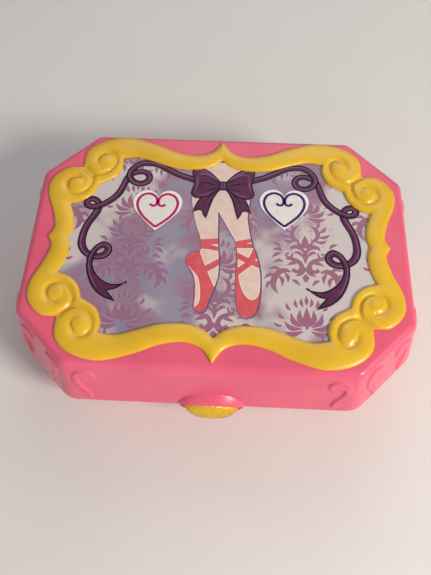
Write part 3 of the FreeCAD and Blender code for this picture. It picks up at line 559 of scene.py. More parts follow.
def oval_sleeve(parts, profile, sides=96):
    """A closed ring round the button that stands proud at its crown and sinks in at its ends."""
    points, faces, count = [], [], len(profile)
    for half_x, half_z, y in profile:
        for i in range(sides):
            a = 2 * math.pi * i / sides
            stand = min(0.0, y - COLLAR_ROOT) * abs(math.sin(a)) ** 0.6
            points.append((half_x * math.cos(a), max(y, COLLAR_ROOT) + stand,
                           BUTTON_LEVEL + half_z * math.sin(a)))
    for k in range(count):
        a, b = k * sides, (k + 1) % count * sides
        faces += [(a + i, b + i, b + (i + 1) % sides, a + (i + 1) % sides) for i in range(sides)]
    parts.add(points, faces)


def oval_bar(parts, half_x, half_z, y0, y1, sides=96):
    """A solid oval bar along Y, at the button's level."""
    turns = [2 * math.pi * i / sides for i in range(sides)]
    ring = [(half_x * math.cos(a), BUTTON_LEVEL + half_z * math.sin(a)) for a in turns]
    parts.add(*lofted([[(x, y, z) for x, z in reversed(ring)] for y in (y0, y1)]))


def block(parts, x0, x1, y0, y1, z0, z1):
    """A closed box between its limits."""
    points = [(x, y, z) for x in (x0, x1) for y in (y0, y1) for z in (z0, z1)]
    parts.add(points, [(0, 1, 3, 2), (4, 6, 7, 5), (0, 4, 5, 1), (2, 3, 7, 6), (0, 2, 6, 4), (1, 5, 7, 3)])


HOLE_X, HOLE_Z = 13.9, 8.7      # half sizes of the hole that the button stands in
COLLAR_ROOT = -74.0
# The collar's section from the hole outwards, as (half width, half height, y)
COLLAR_SECTION = [(HOLE_X, HOLE_Z, -66.0), (HOLE_X, HOLE_Z, -76.4), (14.0, 8.8, -76.9), (14.3, 9.0, -77.2),
                  (14.8, 9.3, -77.1), (15.5, 9.8, -76.4), (16.4, 10.5, -75.0), (17.0, 11.4, -73.6),
                  (17.3, 12.4, -71.4), (17.3, 12.4, -66.0)]
BELOW_PARTING = (-30, 30, -90, -50, 0, PARTING)
CATCH = (-5, 5, -72.6, -67.5, PARTING + 1, PARTING + 4.5)
# A web joins each knuckle to the wall: (y, z) of its side
WEB = [(71.0, HINGE_Z + GAP), (71.0, HINGE_Z + 7.0), (HINGE_Y, HINGE_Z + KNUCKLE_R),
       (HINGE_Y, HINGE_Z + GAP)]


def upper_collar():
    """The half of the button's collar that is on the lid."""
    ring, below = Parts(), Parts()
    oval_sleeve(ring, COLLAR_SECTION)
    block(below, *BELOW_PARTING)
    collar = ring.build("collar")
    boolean(collar, below.build("below"), "DIFFERENCE")
    return collar


def knuckles_and_catch():
    """The lid's two hinge knuckles with their webs, and the catch that the hook holds."""
    tubes, webs = Parts(), Parts()
    for x in (-HINGE_X, HINGE_X):
        x0, x1 = x - KNUCKLE_HALF, x + KNUCKLE_HALF
        tube_along_x(tubes, KNUCKLE_R, HINGE_Y, HINGE_Z, x0, x1)
        points = [(x0, y, z) for y, z in WEB] + [(x1, y, z) for y, z in WEB]
        webs.add(points, [(0, 1, 2, 3), (7, 6, 5, 4), (0, 4, 5, 1), (1, 5, 6, 2), (2, 6, 7, 3),
                          (3, 7, 4, 0)])
    block(webs, *CATCH)
    knuckles = tubes.build("knuckles")
    boolean(knuckles, webs.build("webs"), "UNION")
    return knuckles


def lid_openings():
    """What is cut from the lid: the button's hole, room for the base's knuckles, the card's pocket."""
    cuts = Parts()
    oval_bar(cuts, HOLE_X, HOLE_Z, -90, -60)
    reach = KNUCKLE_HALF + GAP
    for hinge in (-HINGE_X, HINGE_X):
        for x in (hinge - KNUCKLE_STEP, hinge + KNUCKLE_STEP):
            tube_along_x(cuts, KNUCKLE_R + GAP, HINGE_Y, HINGE_Z, x - reach, x + reach)
    prism(cuts, panel_loop(), LID_TOP - CARD_THICK, LID_TOP + 5)
    return cuts.build("cuts")


def lid_shell():
    """The pink lid with its scroll reliefs, the collar's upper half, knuckles and catch."""
    body = lid_body()
    boolean(body, upper_collar(), "UNION")
    boolean(body, knuckles_and_catch(), "UNION")
    boolean(body, lid_openings(), "DIFFERENCE")
    body.data.polygons.foreach_set("use_smooth", [True] * len(body.data.polygons))
    body.data.set_sharp_from_angle(angle=math.radians(48))
    dress(body, PINK, "lid", "case_pink", "lid_shell")


# ---------------------------------------------------------------- scrolled frame

FRAME_OUTER = [
    [(0, 64.8), (5.6, 57.6), (14.3, 54.9), (25, 56.8), (37, 61.8), (52, 65.7), (65.5, 63.0),
     (74, 55.5), (75.0, 44.4)],
    [(75.0, 44.4), (83.4, 43.6), (90.4, 36.3), (91, 26.8), (86.4, 14.5), (84.3, 5.5), (86.7, 0)],
]
FRAME_INNER = [
    [(0, 52.4), (5.5, 48.0), (14, 45.6), (26, 46.4), (38, 50.4), (46.5, 52.7), (54.3, 51.6)],
    [(54.3, 51.6), (53.8, 46.0), (57, 39.0), (64.8, 34.0)],
    [(64.8, 34.0), (67.2, 27.6), (72, 22.9), (78.4, 20.6)],
    [(78.4, 20.6), (75.6, 12.8), (74.9, 5.4), (76.4, 0)],
]
# Each scroll: its button's centre, and the groove that winds in from where the two scrolls meet
SCROLLS = [
    ((63.4, 48.4), [(75.0, 44.6), (72.6, 42.2), (70.3, 40.7), (66.9, 39.8), (63.0, 41.0), (59.5, 43.9),
                    (58.0, 48.8), (59.3, 52.6), (62.4, 54.0), (65.4, 52.6), (66.6, 49.4)]),
    ((77.2, 32.6), [(73.6, 43.4), (70.8, 40.6), (69.3, 37.1), (69.7, 32.7), (72.3, 28.7), (76.6, 26.9),
                    (80.7, 28.8), (81.7, 32.4), (80.1, 35.6), (77.0, 36.6)]),
]
MOULDING_HALF, MOULDING_EDGE, MOULDING_TOP = 5.4, 0.5, 2.15
BUTTON_R, BUTTON_RISE = 3.7, 0.7
# A groove falls off faster on its inner side, and is shallower where it winds in round the button
GROOVE_IN, GROOVE_OUT = 0.6, 1.7
GROOVE_SHALLOW, GROOVE_DEEP, WINDING_R = 1.1, 1.35, 5.6
FRAME_STEP, FRAME_PITCH = 0.75, 0.8
BORDER_ROWS = (0.15, 0.4, 0.8, 1.3)     # rows of points beside both borders, where the moulding is steep


def quarter_ring(runs, step):
    """Mirrors a quarter outline, drawn from the middle of the long side to that of the end, into a loop."""
    quarter = np.vstack([smooth_run(run, step)[:-1] for run in runs] + [[runs[-1][-1]]])
    parts = []
    for sx, sy in ((1, 1), (1, -1), (-1, -1), (-1, 1)):
        part = quarter * (sx, sy)
        parts.append(part[:-1] if sx == sy else part[::-1][:-1])
    return np.vstack(parts)


def moulding_height(flat):
    """Height of the frame over the lid: a half-round moulding with wound scrolls and buttons."""
    folded = np.abs(flat)
    outer = np.vstack([smooth_run(run, 0.7) for run in FRAME_OUTER])
    inner = np.vstack([smooth_run(run, 0.7) for run in FRAME_INNER])
    edge = np.minimum(nearest(folded, outer, False)[0], nearest(folded, inner, False)[0])
    share = np.clip(edge / MOULDING_HALF, 0, 1)
    height = MOULDING_EDGE + (MOULDING_TOP - MOULDING_EDGE) * np.sqrt(1 - (1 - share) ** 2)
    for centre, groove in SCROLLS:
        line = smooth_run(groove, 0.5)
        away, spot = nearest(folded, line, False)
        reach = np.linalg.norm(folded - centre, axis=1)
        within = reach < np.linalg.norm(spot - centre, axis=1)
        width = np.where(within, GROOVE_IN, GROOVE_OUT)
        deep = np.where(reach < WINDING_R, GROOVE_SHALLOW, GROOVE_DEEP)
        shown = np.clip(edge / 0.8, 0, 1) * soft_step((reach - BUTTON_R + 0.3) / 0.6)
        height -= deep * np.exp(-(away / width) ** 2) * shown
        button = np.clip(1 - (reach / BUTTON_R) ** 2, 0, 1)
        height += BUTTON_RISE * np.sqrt(button) * (reach < BUTTON_R)
    return LID_TOP + np.maximum(height, 0.3)


def lid_frame():
    """The scrolled frame: a plate between its two outlines, raised into a moulding."""
    outer, inner = quarter_ring(FRAME_OUTER, FRAME_STEP), quarter_ring(FRAME_INNER, FRAME_STEP)
    spare = []
    for loop, side in ((outer, 1), (inner, -1)):
        for by in BORDER_ROWS:
            moved = shrink(loop, side * by)
            clear = np.minimum(nearest(moved, outer)[0], nearest(moved, inner)[0]) > 0.85 * by
            spare.append(moved[clear & inside(moved, outer) & ~inside(moved, inner)])
    grid = []
    for row, y in enumerate(np.arange(-66, 66, FRAME_PITCH * 0.866)):
        x = np.arange(-92, 92, FRAME_PITCH) + (row % 2) * FRAME_PITCH / 2
        grid.append(np.stack([x, np.full(len(x), y)], 1))
    grid = np.vstack(grid)
    grid = grid[inside(grid, outer) & ~inside(grid, inner)]
    clear = np.minimum(nearest(grid, outer)[0], nearest(grid, inner)[0]) > 1.8
    spare.append(grid[clear])
    parts = Parts()
    plate(parts, [outer, inner], LID_TOP + 0.01, moulding_height, np.vstack(spare))
    dress(parts.build("scroll_frame", sharp=60), YELLOW, "lid", "frame_yellow", "lid_frame")


# ---------------------------------------------------------------- picture

CARD_GAP = 0.2


def film(parts, loop, low, high):
    """A closed film of ink on the card, between two heights over it."""
    plate(parts, [loop], LID_TOP + low, LID_TOP + high)


def on_print(parts, name, material):
    """Builds printed parts as a piece of the card."""
    dress(parts.build(name), material, "lid", "printed_card")


def picture_ground():
    """The card that everything else is printed on."""
    parts = Parts()
    plate(parts, [panel_loop(CARD_GAP)], LID_TOP - CARD_THICK, LID_TOP)
    dress(parts.build("picture_card"), printed_ground(), "lid", "printed_card", "picture_panel")


# One damask medallion: (x, y, width) strokes about its middle, each with its mirror image
MEDALLION = [
    [(0, 5.6, 0.8), (0, 8.3, 3.4), (0, 10.8, 2.2), (0, 13.2, 0)],
    [(0.6, 5.6, 0.6), (2.6, 7.4, 1.7), (4.2, 9.8, 0)],
    [(0.6, 2.6, 0.5), (1.8, 5.0, 1.6), (4.2, 6.4, 2.2), (6.6, 5.8, 1.6), (7.6, 4.2, 0)],
    [(1.2, 0.6, 0.4), (2.8, 2.6, 1.7), (4.4, 3.2, 1.3), (5.6, 2.4, 0)],
    [(0, 4.4, 0.8), (0, 0.9, 2.6), (0, -3.2, 0.3)],
    [(6.4, 3.0, 0.3), (6.7, 0.9, 1.1), (8.2, -0.1, 1.2), (9.6, 1.1, 1.1), (9.0, 2.5, 0.9), (8.0, 2.1, 1.0)],
    [(10.0, -0.9, 0.3), (8.0, -0.6, 1.5), (5.8, -1.2, 2.1), (3.2, -2.6, 2.2), (1.9, -5.0, 2.1),
     (2.9, -7.4, 1.9), (4.9, -8.0, 1.8), (6.5, -6.6, 1.9)],
    [(4.6, -3.4, 0.4), (6.6, -3.2, 1.7), (9.4, -4.6, 0)],
    [(0, -5.6, 1.6), (2.4, -9.0, 2.0), (5.2, -10.4, 0)],
    [(0, -9.4, 0.5), (0, -11.6, 3.4), (0, -14.0, 0)],
    [(7.4, -8.4, 0.8), (10.2, -7.4, 2.2), (13.4, -8.8, 2.9), (15.6, -12.4, 3.0), (15.8, -17.0, 2.2),
     (13.6, -20.6, 0)],
    [(12.4, -7.4, 0.4), (15.0, -6.0, 1.9), (18.2, -7.0, 0)],
    [(15.4, -10.0, 0.4), (18.0, -10.2, 2.0), (20.6, -12.6, 0)],
    [(16.4, -13.8, 0.4), (18.4, -15.0, 1.8), (19.6, -18.2, 0)],
    [(13.6, -10.6, 0.4), (11.6, -12.8, 1.9), (11.6, -16.4, 0)],
    [(10.4, -8.6, 0.4), (8.8, -11.2, 1.8), (8.8, -14.4, 0)],
    [(7.0, -12.6, 0), (5.0, -13.4, 1.7), (3.0, -15.6, 0.3)],
    [(3.0, 9.6, 0.8), (5.6, 11.0, 1.8), (6.6, 14.0, 2.1), (5.4, 17.2, 1.7), (2.6, 19.4, 0)],
    [(5.0, 9.8, 0.3), (8.6, 9.2, 1.7), (11.2, 10.8, 0)],
    [(7.4, 12.2, 0.4), (10.2, 12.4, 1.9), (13.0, 14.2, 0)],
    [(7.4, 15.0, 0.4), (9.6, 16.4, 1.7), (11.0, 19.0, 0)],
    [(6.0, 17.6, 0.4), (7.2, 19.8, 1.5), (7.0, 22.2, 0)],
    [(11.4, 3.4, 0), (13.4, 4.8, 1.9), (16.4, 4.2, 0)],
    [(11.6, 2.6, 0), (14.4, 1.8, 1.9), (16.8, -0.4, 0)],
    [(12.2, 5.6, 0), (13.8, 7.6, 1.7), (16.6, 8.4, 0)],
    [(10.8, -2.6, 0), (13.2, -1.8, 1.7), (16.0, -3.4, 0)],
    [(8.6, 6.6, 0.7), (8.8, 7.1, 0.6)],
    [(9.4, 0.6, 0.6), (9.5, 0.9, 0.6)],
    [(4.6, 8.4, 0.7), (4.9, 8.8, 0.6)],
    [(3.2, 11.4, 0.6), (3.4, 11.8, 0.6)],
    [(3.4, 13.6, 0.6), (3.5, 14.0, 0.6)],
    [(2.8, 15.8, 0.6), (2.9, 16.2, 0.6)],
]
# The wheat-like spray that stands between medallions
SPRAY = [
    [(0, -7, 0.5), (0, -2, 3.8), (0, 4.6, 0)],
    [(1.4, -5.4, 0.4), (3.4, -1.6, 2.6), (3.2, 3.4, 0)],
    [(2.2, -5.8, 0.4), (6.2, -3.2, 2.6), (7.6, 1.4, 0)],
    [(2.6, -6.8, 0.4), (7.6, -6.4, 2.5), (10.8, -3.2, 0)],
    [(2.0, -8.0, 0.4), (6.6, -9.6, 2.4), (11.2, -8.4, 0)],
    [(0, 5.6, 0), (0, 8.0, 1.9), (0, 10.8, 0)],
    [(1.6, 4.6, 0), (2.6, 6.8, 1.7), (2.4, 9.4, 0)],
    [(4.2, 4.2, 0), (5.4, 6.0, 1.7), (5.4, 8.6, 0)],
    [(7.6, 2.8, 0), (9.2, 4.2, 1.7), (9.6, 6.6, 0)],
    [(10.4, -1.6, 0), (12.4, -0.8, 1.7), (13.8, 1.2, 0)],
    [(11.6, -5.4, 0), (13.8, -5.4, 1.6), (15.8, -4.0, 0)],
]
DAMASK_COLUMN, DAMASK_ROW, DAMASK_Y = 44.0, 32.0, -7.0


def damask():
    """Medallions and sprays by turns over the card, each stroke on a level of its own with a pale edge."""
    edges, shapes = Parts(), Parts()
    window = quarter_ring(FRAME_INNER, 2.0)
    cover = shrink(quarter_ring(FRAME_OUTER, 2.0), 2.0)
    for column in range(-2, 3):
        for row in range(-2, 3):
            cx, cy = column * DAMASK_COLUMN, DAMASK_Y + row * DAMASK_ROW
            motif = SPRAY if (column + row) % 2 == 0 else MEDALLION
            for number, path in enumerate(motif):
                for side in ((-1, 1) if path[1][0] else (1,)):
                    flat = np.array([(cx + side * x, cy + y) for x, y, _ in path])
                    if not inside(flat, window).any() or not inside(flat, cover).all():
                        continue
                    level = LID_TOP + 0.02 + 0.0008 * number + 0.0004 * side
                    moved = [(x, y, p[2], level + 0.0012 * k / len(path))
                             for k, ((x, y), p) in enumerate(zip(flat, path))]
                    stroke(edges, moved, extra=0.7, step=1.0)
                    stroke(shapes, moved, extra=0.25, lift=0.02, step=1.0)
    on_print(edges, "damask_edges", printed_edge())
    on_print(shapes, "damask_shapes", printed_motif())


# Outlines of the printed legs and shoes, each as smooth runs that meet at corners; the ankle bands; the
# skin that shows between a shoe's ribbons; and the slits in the bands
LEFT_LEG = [[(1.2, 51.0), (-11.0, 51.0)],
            [(-11.0, 51.0), (-14.6, 38), (-14.9, 27.3), (-13.4, 17.5), (-11.7, 10.4), (-8.9, 1.7),
             (-8.2, -4.0), (-8.9, -5.9)],
            [(-8.9, -5.9), (-11.5, -6.1), (-14.6, -8.0), (-15.7, -11.0), (-14.5, -13.9), (-12.0, -18.1),
             (-10.6, -23.0), (-10.2, -30.0), (-10.3, -36.5), (-9.2, -38.3), (-6.7, -38.9), (-4.9, -38.4),
             (-4.1, -36.2), (-2.2, -30.3), (-0.6, -25.0), (0.6, -19.0), (1.0, -11.7), (0.2, -4.3),
             (-0.3, 2.4), (-0.5, 10.9), (-0.8, 19.3)],
            [(-0.8, 19.3), (1.2, 26), (1.2, 51.0)]]
RIGHT_LEG = [[(1.2, 51.0), (1.2, 26), (-0.8, 19.3)],
             [(-0.8, 19.3), (3.6, 11.1), (6.0, 6.6), (8.6, 1.3), (9.6, -3.9), (9.7, -9.8), (9.5, -15.0),
              (9.6, -25.6), (10.3, -33.5), (11.5, -38.6), (13.5, -40.6), (16.2, -41.0), (18.9, -39.2),
              (20.7, -34.6), (21.5, -28.6), (21.6, -19.8), (21.0, -13.7), (19.6, -7.2), (17.9, -2.6),
              (16.4, 3.2), (15.0, 11.6), (14.6, 17.2), (15.5, 28), (14.4, 40), (12.5, 51.0)],
             [(12.5, 51.0), (1.2, 51.0)]]
LEFT_SHOE = [LEFT_LEG[2][:16] + [(1.0, -11.7)], [(1.0, -11.7), (0.5, -5.4)], [(0.5, -5.4), (-8.9, -5.9)]]
RIGHT_SHOE = [[(18.1, -3.0), (9.6, -3.9)], [(9.6, -3.9)] + RIGHT_LEG[1][5:18] + [(18.1, -3.0)]]
BANDS = [[(-8.9, 1.5), (-0.4, 2.6), (0.15, -4.9), (-8.3, -3.8)],
         [(8.5, 1.1), (16.4, 3.0), (17.9, -2.4), (9.4, -2.8)]]
SKIN_WINDOWS = [
    [[(-8.8, -6.0), (-8.5, -4.2)], [(-8.5, -4.2), (-3.9, -4.2), (0.25, -5.3)], [(0.25, -5.3), (0.7, -9.2)],
     [(0.7, -9.2), (-5.9, -13.7)], [(-5.9, -13.7), (-8.8, -6.0)]],
    [[(-4.6, -17.0), (0.95, -13.2)], [(0.95, -13.2), (0.7, -19.7), (-0.7, -25.6)],
     [(-0.7, -25.6), (-4.6, -17.0)]],
    [[(-14.3, -13.9), (-11.7, -18.1), (-10.2, -23.0), (-9.7, -30), (-10.0, -36.8)],
     [(-10.0, -36.8), (-7.9, -34.4), (-7.4, -29.9), (-8.0, -24.0), (-9.6, -19.4), (-14.3, -13.9)]],
    [[(10.8, -18.3), (17.2, -12.4)], [(17.2, -12.4), (21.0, -14.1)],
     [(21.0, -14.1), (21.6, -19.8), (21.4, -26.8), (20.0, -30.4), (17.5, -31.7), (15.0, -30.2),
      (12.8, -26.5), (11.4, -22.0), (10.8, -18.3)]],
    [[(9.6, -3.0), (17.9, -2.6)], [(17.9, -2.6), (15.8, -8.3)], [(15.8, -8.3), (10.0, -5.4)],
     [(10.0, -5.4), (9.6, -3.0)]],
    [[(10.3, -9.1), (14.0, -11.1)], [(14.0, -11.1), (10.4, -14.2)], [(10.4, -14.2), (10.3, -9.1)]],
    [[(18.9, -9.4), (19.5, -8.3)], [(19.5, -8.3), (20.4, -10.1)], [(20.4, -10.1), (18.9, -9.4)]],
]
LEG_BRIDGE = [(-0.8, 20.3), (0.0, 20.3), (3.4, 25), (3.4, 50), (-1.4, 50), (-1.4, 25)]
BAND_SLITS = [[(-3.7, -1.4), (0.0, -0.9), (0.1, -2.5)], [(14.2, 0.2), (16.9, 0.8), (17.1, 0.0)]]


LEG_STEP = 0.8
INK_LEVELS = (0.06, 0.08, 0.10, 0.12, 0.14, 0.16)
SMALL_WINDOW = 14               # a window with fewer points than this has a narrower pale edge


def corners_loop(corners):
    """A loop with straight sides, with points along them."""
    return outline([[corners[i], corners[(i + 1) % len(corners)]] for i in range(len(corners))], LEG_STEP)


def dancer_legs():
    """The printed legs on points in coral shoes, cut from layers of flat ink."""
    shadow, halo, skin, coral = Parts(), Parts(), Parts(), Parts()
    edge, leg, shoe, window_edge, window, top = INK_LEVELS
    for runs in (LEFT_LEG, RIGHT_LEG):
        loop = outline(runs, LEG_STEP)
        film(shadow, shrink(loop, -0.55) + (0.25, -0.1), 0.045, edge)
        film(halo, loop, edge, leg)
        film(skin, shrink(loop, 0.35), leg, shoe)
    film(skin, np.array(LEG_BRIDGE), leg, shoe + 0.005)
    for runs in (LEFT_SHOE, RIGHT_SHOE):
        film(coral, outline(runs, LEG_STEP), shoe, window_edge)
    for corners in BANDS:
        film(coral, corners_loop(corners), shoe, window_edge)
    for runs in SKIN_WINDOWS:
        loop = outline(runs, LEG_STEP)
        film(halo, loop, window_edge, window)
        film(skin, shrink(loop, 0.2 if len(loop) < SMALL_WINDOW else 0.38), window, top)
    for corners in BAND_SLITS:
        film(halo, corners_loop(corners), window_edge, window)
    on_print(shadow, "leg_shadow", ink("ink_shadow", (92, 78, 112), (104, 88, 120)))
    on_print(halo, "leg_edges", ink("ink_pale_edge", (246, 226, 208), (240, 216, 200)))
    on_print(skin, "legs", ink("ink_skin", (232, 204, 188), (222, 192, 180)))
    on_print(coral, "pointe_shoes", ink("ink_coral", (222, 94, 98), (206, 82, 92)))


# Right-hand ribbon as (x, y, width, level over the card), drawn from the bow; the left one mirrors it
RIBBON_AXIS = 0.4
RIBBON = [(14.5, 38.6, 2.9, 0.30), (20.5, 40.6, 2.7, 0.30), (25.0, 42.5, 2.7, 0.30), (30.5, 45.6, 2.6, 0.30),
          (34.8, 47.9, 2.5, 0.30), (39.0, 48.9, 2.6, 0.30), (43.6, 48.7, 2.6, 0.30), (47.0, 46.8, 2.5, 0.30),
          (49.6, 43.6, 2.3, 0.29), (50.2, 40.2, 2.4, 0.28), (48.7, 37.2, 2.5, 0.26), (46.0, 35.4, 2.6, 0.24),
          (43.0, 35.2, 2.6, 0.22), (40.3, 36.7, 2.6, 0.20), (39.4, 39.5, 2.5, 0.18), (40.9, 42.2, 2.4, 0.17),
          (43.8, 43.1, 2.4, 0.16), (47.0, 42.4, 2.4, 0.15), (50.0, 40.7, 2.4, 0.14), (51.6, 37.6, 2.4, 0.14),
          (52.7, 33.4, 2.6, 0.17), (54.3, 29.0, 2.6, 0.21), (56.8, 25.3, 2.5, 0.25), (60.2, 22.2, 2.4, 0.29),
          (63.7, 20.0, 2.3, 0.30), (67.0, 19.0, 2.3, 0.29), (69.9, 19.8, 2.4, 0.27), (70.8, 22.0, 2.4, 0.24),
          (69.3, 24.0, 2.3, 0.21), (66.9, 23.9, 2.3, 0.18), (64.9, 22.3, 2.3, 0.16), (64.1, 19.9, 2.5, 0.14),
          (64.5, 16.9, 2.9, 0.13), (66.0, 13.4, 2.8, 0.12), (68.0, 9.4, 2.7, 0.11), (69.4, 5.0, 2.7, 0.10),
          (70.0, 0.6, 2.8, 0.10), (69.8, -3.6, 3.0, 0.10), (68.2, -7.2, 2.8, 0.10), (65.7, -9.4, 2.6, 0.10),
          (62.9, -10.6, 2.6, 0.12), (59.9, -10.7, 2.7, 0.15), (57.2, -9.6, 2.8, 0.18),
          (55.6, -7.3, 2.8, 0.20),
          (56.4, -4.8, 2.7, 0.22), (58.6, -3.9, 2.5, 0.24), (61.0, -5.2, 2.2, 0.26), (62.9, -7.9, 2.0, 0.28),
          (64.0, -11.0, 2.1, 0.29), (64.2, -13.2, 2.5, 0.29)]
RIBBON_TAIL = [[(65.6, -12.0), (65.8, -15.2), (65.0, -19.6), (63.4, -24.0), (61.2, -28.0), (58.2, -31.2),
                (54.6, -33.6), (48.8, -35.6)],
               [(48.8, -35.6), (50.9, -32.6), (53.6, -29.6)],
               [(53.6, -29.6), (50.2, -28.9), (47.0, -26.8), (43.7, -24.0)],
               [(43.7, -24.0), (46.3, -25.2), (49.3, -25.9), (52.7, -25.7), (56.1, -24.1), (59.3, -21.4),
                (61.5, -18.2), (62.5, -15.0), (62.8, -12.0)],
               [(62.8, -12.0), (65.6, -12.0)]]
TAIL_LIGHT = [(64.5, -11.5, 0.5, 0.29), (64.5, -15.5, 0.6, 0.29), (63.4, -20.0, 0.6, 0.29),
              (61.4, -24.6, 0.5, 0.29), (58.4, -28.8, 0.1, 0.29)]
BOW_CENTRE = (1.2, 35.3)
BOW_LOOP = [[(1.2, 2.2), (3.2, 4.8), (6.5, 8.4), (9.6, 10.6), (12.4, 11.6)],
            [(12.4, 11.6), (15.4, 11.3), (16.9, 9.3), (16.6, 6.2), (15.6, 1.4), (16.2, -2.0), (17.0, -5.2)],
            [(17.0, -5.2), (15.2, -7.8), (12.0, -8.4), (8.6, -7.4), (5.2, -5.0), (1.4, -2.2)],
            [(1.4, -2.2), (1.2, 2.2)]]
BOW_TAIL = [[(1.0, -2.0), (3.6, -5.6), (5.6, -11.0), (7.2, -17.4), (8.2, -20.9)],
            [(8.2, -20.9), (9.6, -18.8), (10.6, -16.4), (12.4, -15.9), (15.4, -17.4)],
            [(15.4, -17.4), (14.2, -13.4), (12.6, -9.6), (9.4, -5.2), (1.4, -1.2)],
            [(1.4, -1.2), (1.0, -2.0)]]
BOW_FOLDS = [[(1.8, 1.0, 0.3), (5.0, 3.6, 0.7), (9.0, 6.4, 0.1)],
             [(1.9, -0.2, 0.3), (6.0, 0.9, 0.7), (11.2, 1.9, 0.6), (12.4, 0.7, 0.5), (10.8, -0.1, 0.1)],
             [(1.8, -1.2, 0.3), (5.4, -2.4, 0.7), (10.0, -3.4, 0.1)]]
TAIL_FOLDS = [[(2.6, -3.6, 0.3), (5.2, -8.4, 0.6), (7.6, -14.0, 0.1)],
              [(3.8, -3.4, 0.3), (7.6, -8.0, 0.6), (10.2, -12.8, 0.1)]]
LOOP_LIGHTS = [[(3.4, 3.6, 0.4), (7.6, 7.6, 0.8), (12.6, 10.3, 0.9), (15.4, 9.4, 0.6)],
               [(5.0, 4.4, 0.2), (9.0, 7.2, 0.7), (13.6, 7.8, 0.5)],
               [(13.6, 6.6, 0.3), (13.9, 1.0, 0.7), (15.0, -4.6, 0.3)],
               [(5.0, -3.8, 0.3), (9.4, -6.2, 0.7), (13.6, -6.6, 0.3)]]
KNOT = [(-2.0, 1.4), (-1.6, 2.6), (0, 3.0), (1.6, 2.6), (2.0, 1.4), (2.1, -1.4), (1.5, -2.6), (0, -2.9),
        (-1.5, -2.6), (-2.1, -1.4)]
HALO_LEVEL, TAIL_LEVEL, BOW_LEVEL = 0.07, 0.26, 0.34


def on_card(path, sign=1):
    """Places a ribbon path: levels over the card become heights, and sign -1 mirrors it."""
    return [(RIBBON_AXIS + sign * (x - RIBBON_AXIS), y, w, LID_TOP + z) for x, y, w, z in path]


def bow_path(path, sign, level):
    """Places a path drawn about the bow's middle, at a level over the card."""
    cx, cy = BOW_CENTRE
    return [(cx + sign * x, cy + y, w, LID_TOP + level) for x, y, w in path]


def mirrored_runs(runs, sign):
    """Runs of places on the card, mirrored in the ribbons' axis where sign is -1."""
    return [[(RIBBON_AXIS + sign * (x - RIBBON_AXIS), y) for x, y in run] for run in runs]


def edged(dark, colour, loop, level, width):
    """A filled shape with a dark line of the given width just inside its border."""
    film(dark, loop, level - 0.02, level)
    film(colour, shrink(loop, width), level, level + 0.015)


def ribbons():
    """The printed ribbons with their loops and swallow tails, and the bow over the legs."""
    halo, dark, purple, lights = Parts(), Parts(), Parts(), Parts()
    cx, cy = BOW_CENTRE
    for sign in (-1, 1):
        path = on_card(RIBBON, sign)
        stroke(halo, [(x, y, w, LID_TOP + HALO_LEVEL) for x, y, w, _ in path], extra=1.6, step=0.6)
        stroke(dark, path, extra=1.15, step=0.5)
        stroke(purple, path, extra=-0.3, lift=0.012, step=0.5)
        stroke(lights, path, share=0.24, shift=0.2 * sign, lift=0.02, step=0.5)
        tail = outline(mirrored_runs(RIBBON_TAIL, sign), 0.7)
        film(halo, shrink(tail, -0.25), 0.06, HALO_LEVEL)
        edged(dark, purple, tail, TAIL_LEVEL, 0.75)
        stroke(lights, on_card(TAIL_LIGHT, sign), step=0.6)
        for runs, level in ((BOW_TAIL, BOW_LEVEL), (BOW_LOOP, BOW_LEVEL + 0.05)):
            loop = outline([[(cx + sign * x, cy + y) for x, y in run] for run in runs], 0.7)
            film(halo, shrink(loop, -0.2), 0.17, 0.18)
            edged(dark, purple, loop, level, 0.62)
        for path in BOW_FOLDS:
            stroke(dark, bow_path(path, sign, BOW_LEVEL + 0.08), step=0.6)
        for path in TAIL_FOLDS:
            stroke(dark, bow_path(path, sign, BOW_LEVEL + 0.04), step=0.6)
        for path in LOOP_LIGHTS:
            stroke(lights, bow_path(path, sign, BOW_LEVEL + 0.075), step=0.6)
    loop = smooth_run([(cx + x, cy + y) for x, y in KNOT], 0.5, closed=True)
    edged(dark, purple, loop, BOW_LEVEL + 0.09, 0.6)
    for x in (-0.6, 0.5):
        crease = [(x, 1.8, 0.2), (x * 1.3, 0, 0.5), (x, -1.8, 0.2)]
        stroke(lights, bow_path(crease, 1, BOW_LEVEL + 0.12), step=0.5)
    on_print(halo, "ribbon_halo", ink("ink_halo", (186, 172, 190), (172, 158, 178)))
    on_print(dark, "ribbon_lines", ink("ink_dark", (18, 4, 22), (12, 2, 16), 0.5))
    on_print(purple, "ribbon_fill", ink("ink_plum", (96, 38, 76), (84, 30, 68)))
    on_print(lights, "ribbon_lights", ink("ink_mauve", (134, 86, 122), (118, 72, 106)))


HEARTS = [((-32.7, 18.4), "magenta", (192, 22, 100), (176, 12, 88)),
          ((33.6, 21.5), "violet", (74, 24, 104), (58, 12, 88))]
HEART_HALF, HEART_BORDER, HEART_LINE_WIDTH = 12.9, 2.0, 1.45
STICKER_FOOT, STICKER_TOP = 0.2, 0.46
HEART_LINE = [(0, -10.6), (4.2, -7.0), (7.7, -3.3), (10.0, 0.9), (10.5, 5.0), (8.8, 8.6), (5.4, 10.2),
              (2.1, 9.1), (0.6, 6.9), (0.35, 4.6), (1.0, 2.9), (2.6, 2.5), (4.2, 3.6)]


def heart_loop(half_width):
    """The sticker's outline: two lobes and gently bowed edges."""
    w = half_width
    right = [(0, 0.64), (0.12, 0.83), (0.33, 0.95), (0.54, 0.955), (0.76, 0.86), (0.93, 0.66), (1.0, 0.42),
             (0.96, 0.16), (0.86, -0.06), (0.66, -0.31), (0.40, -0.60), (0, -0.98)]
    runs = [[(x * w, y * w) for x, y in right], [(-x * w, y * w) for x, y in reversed(right)]]
    return outline(runs, 0.6)


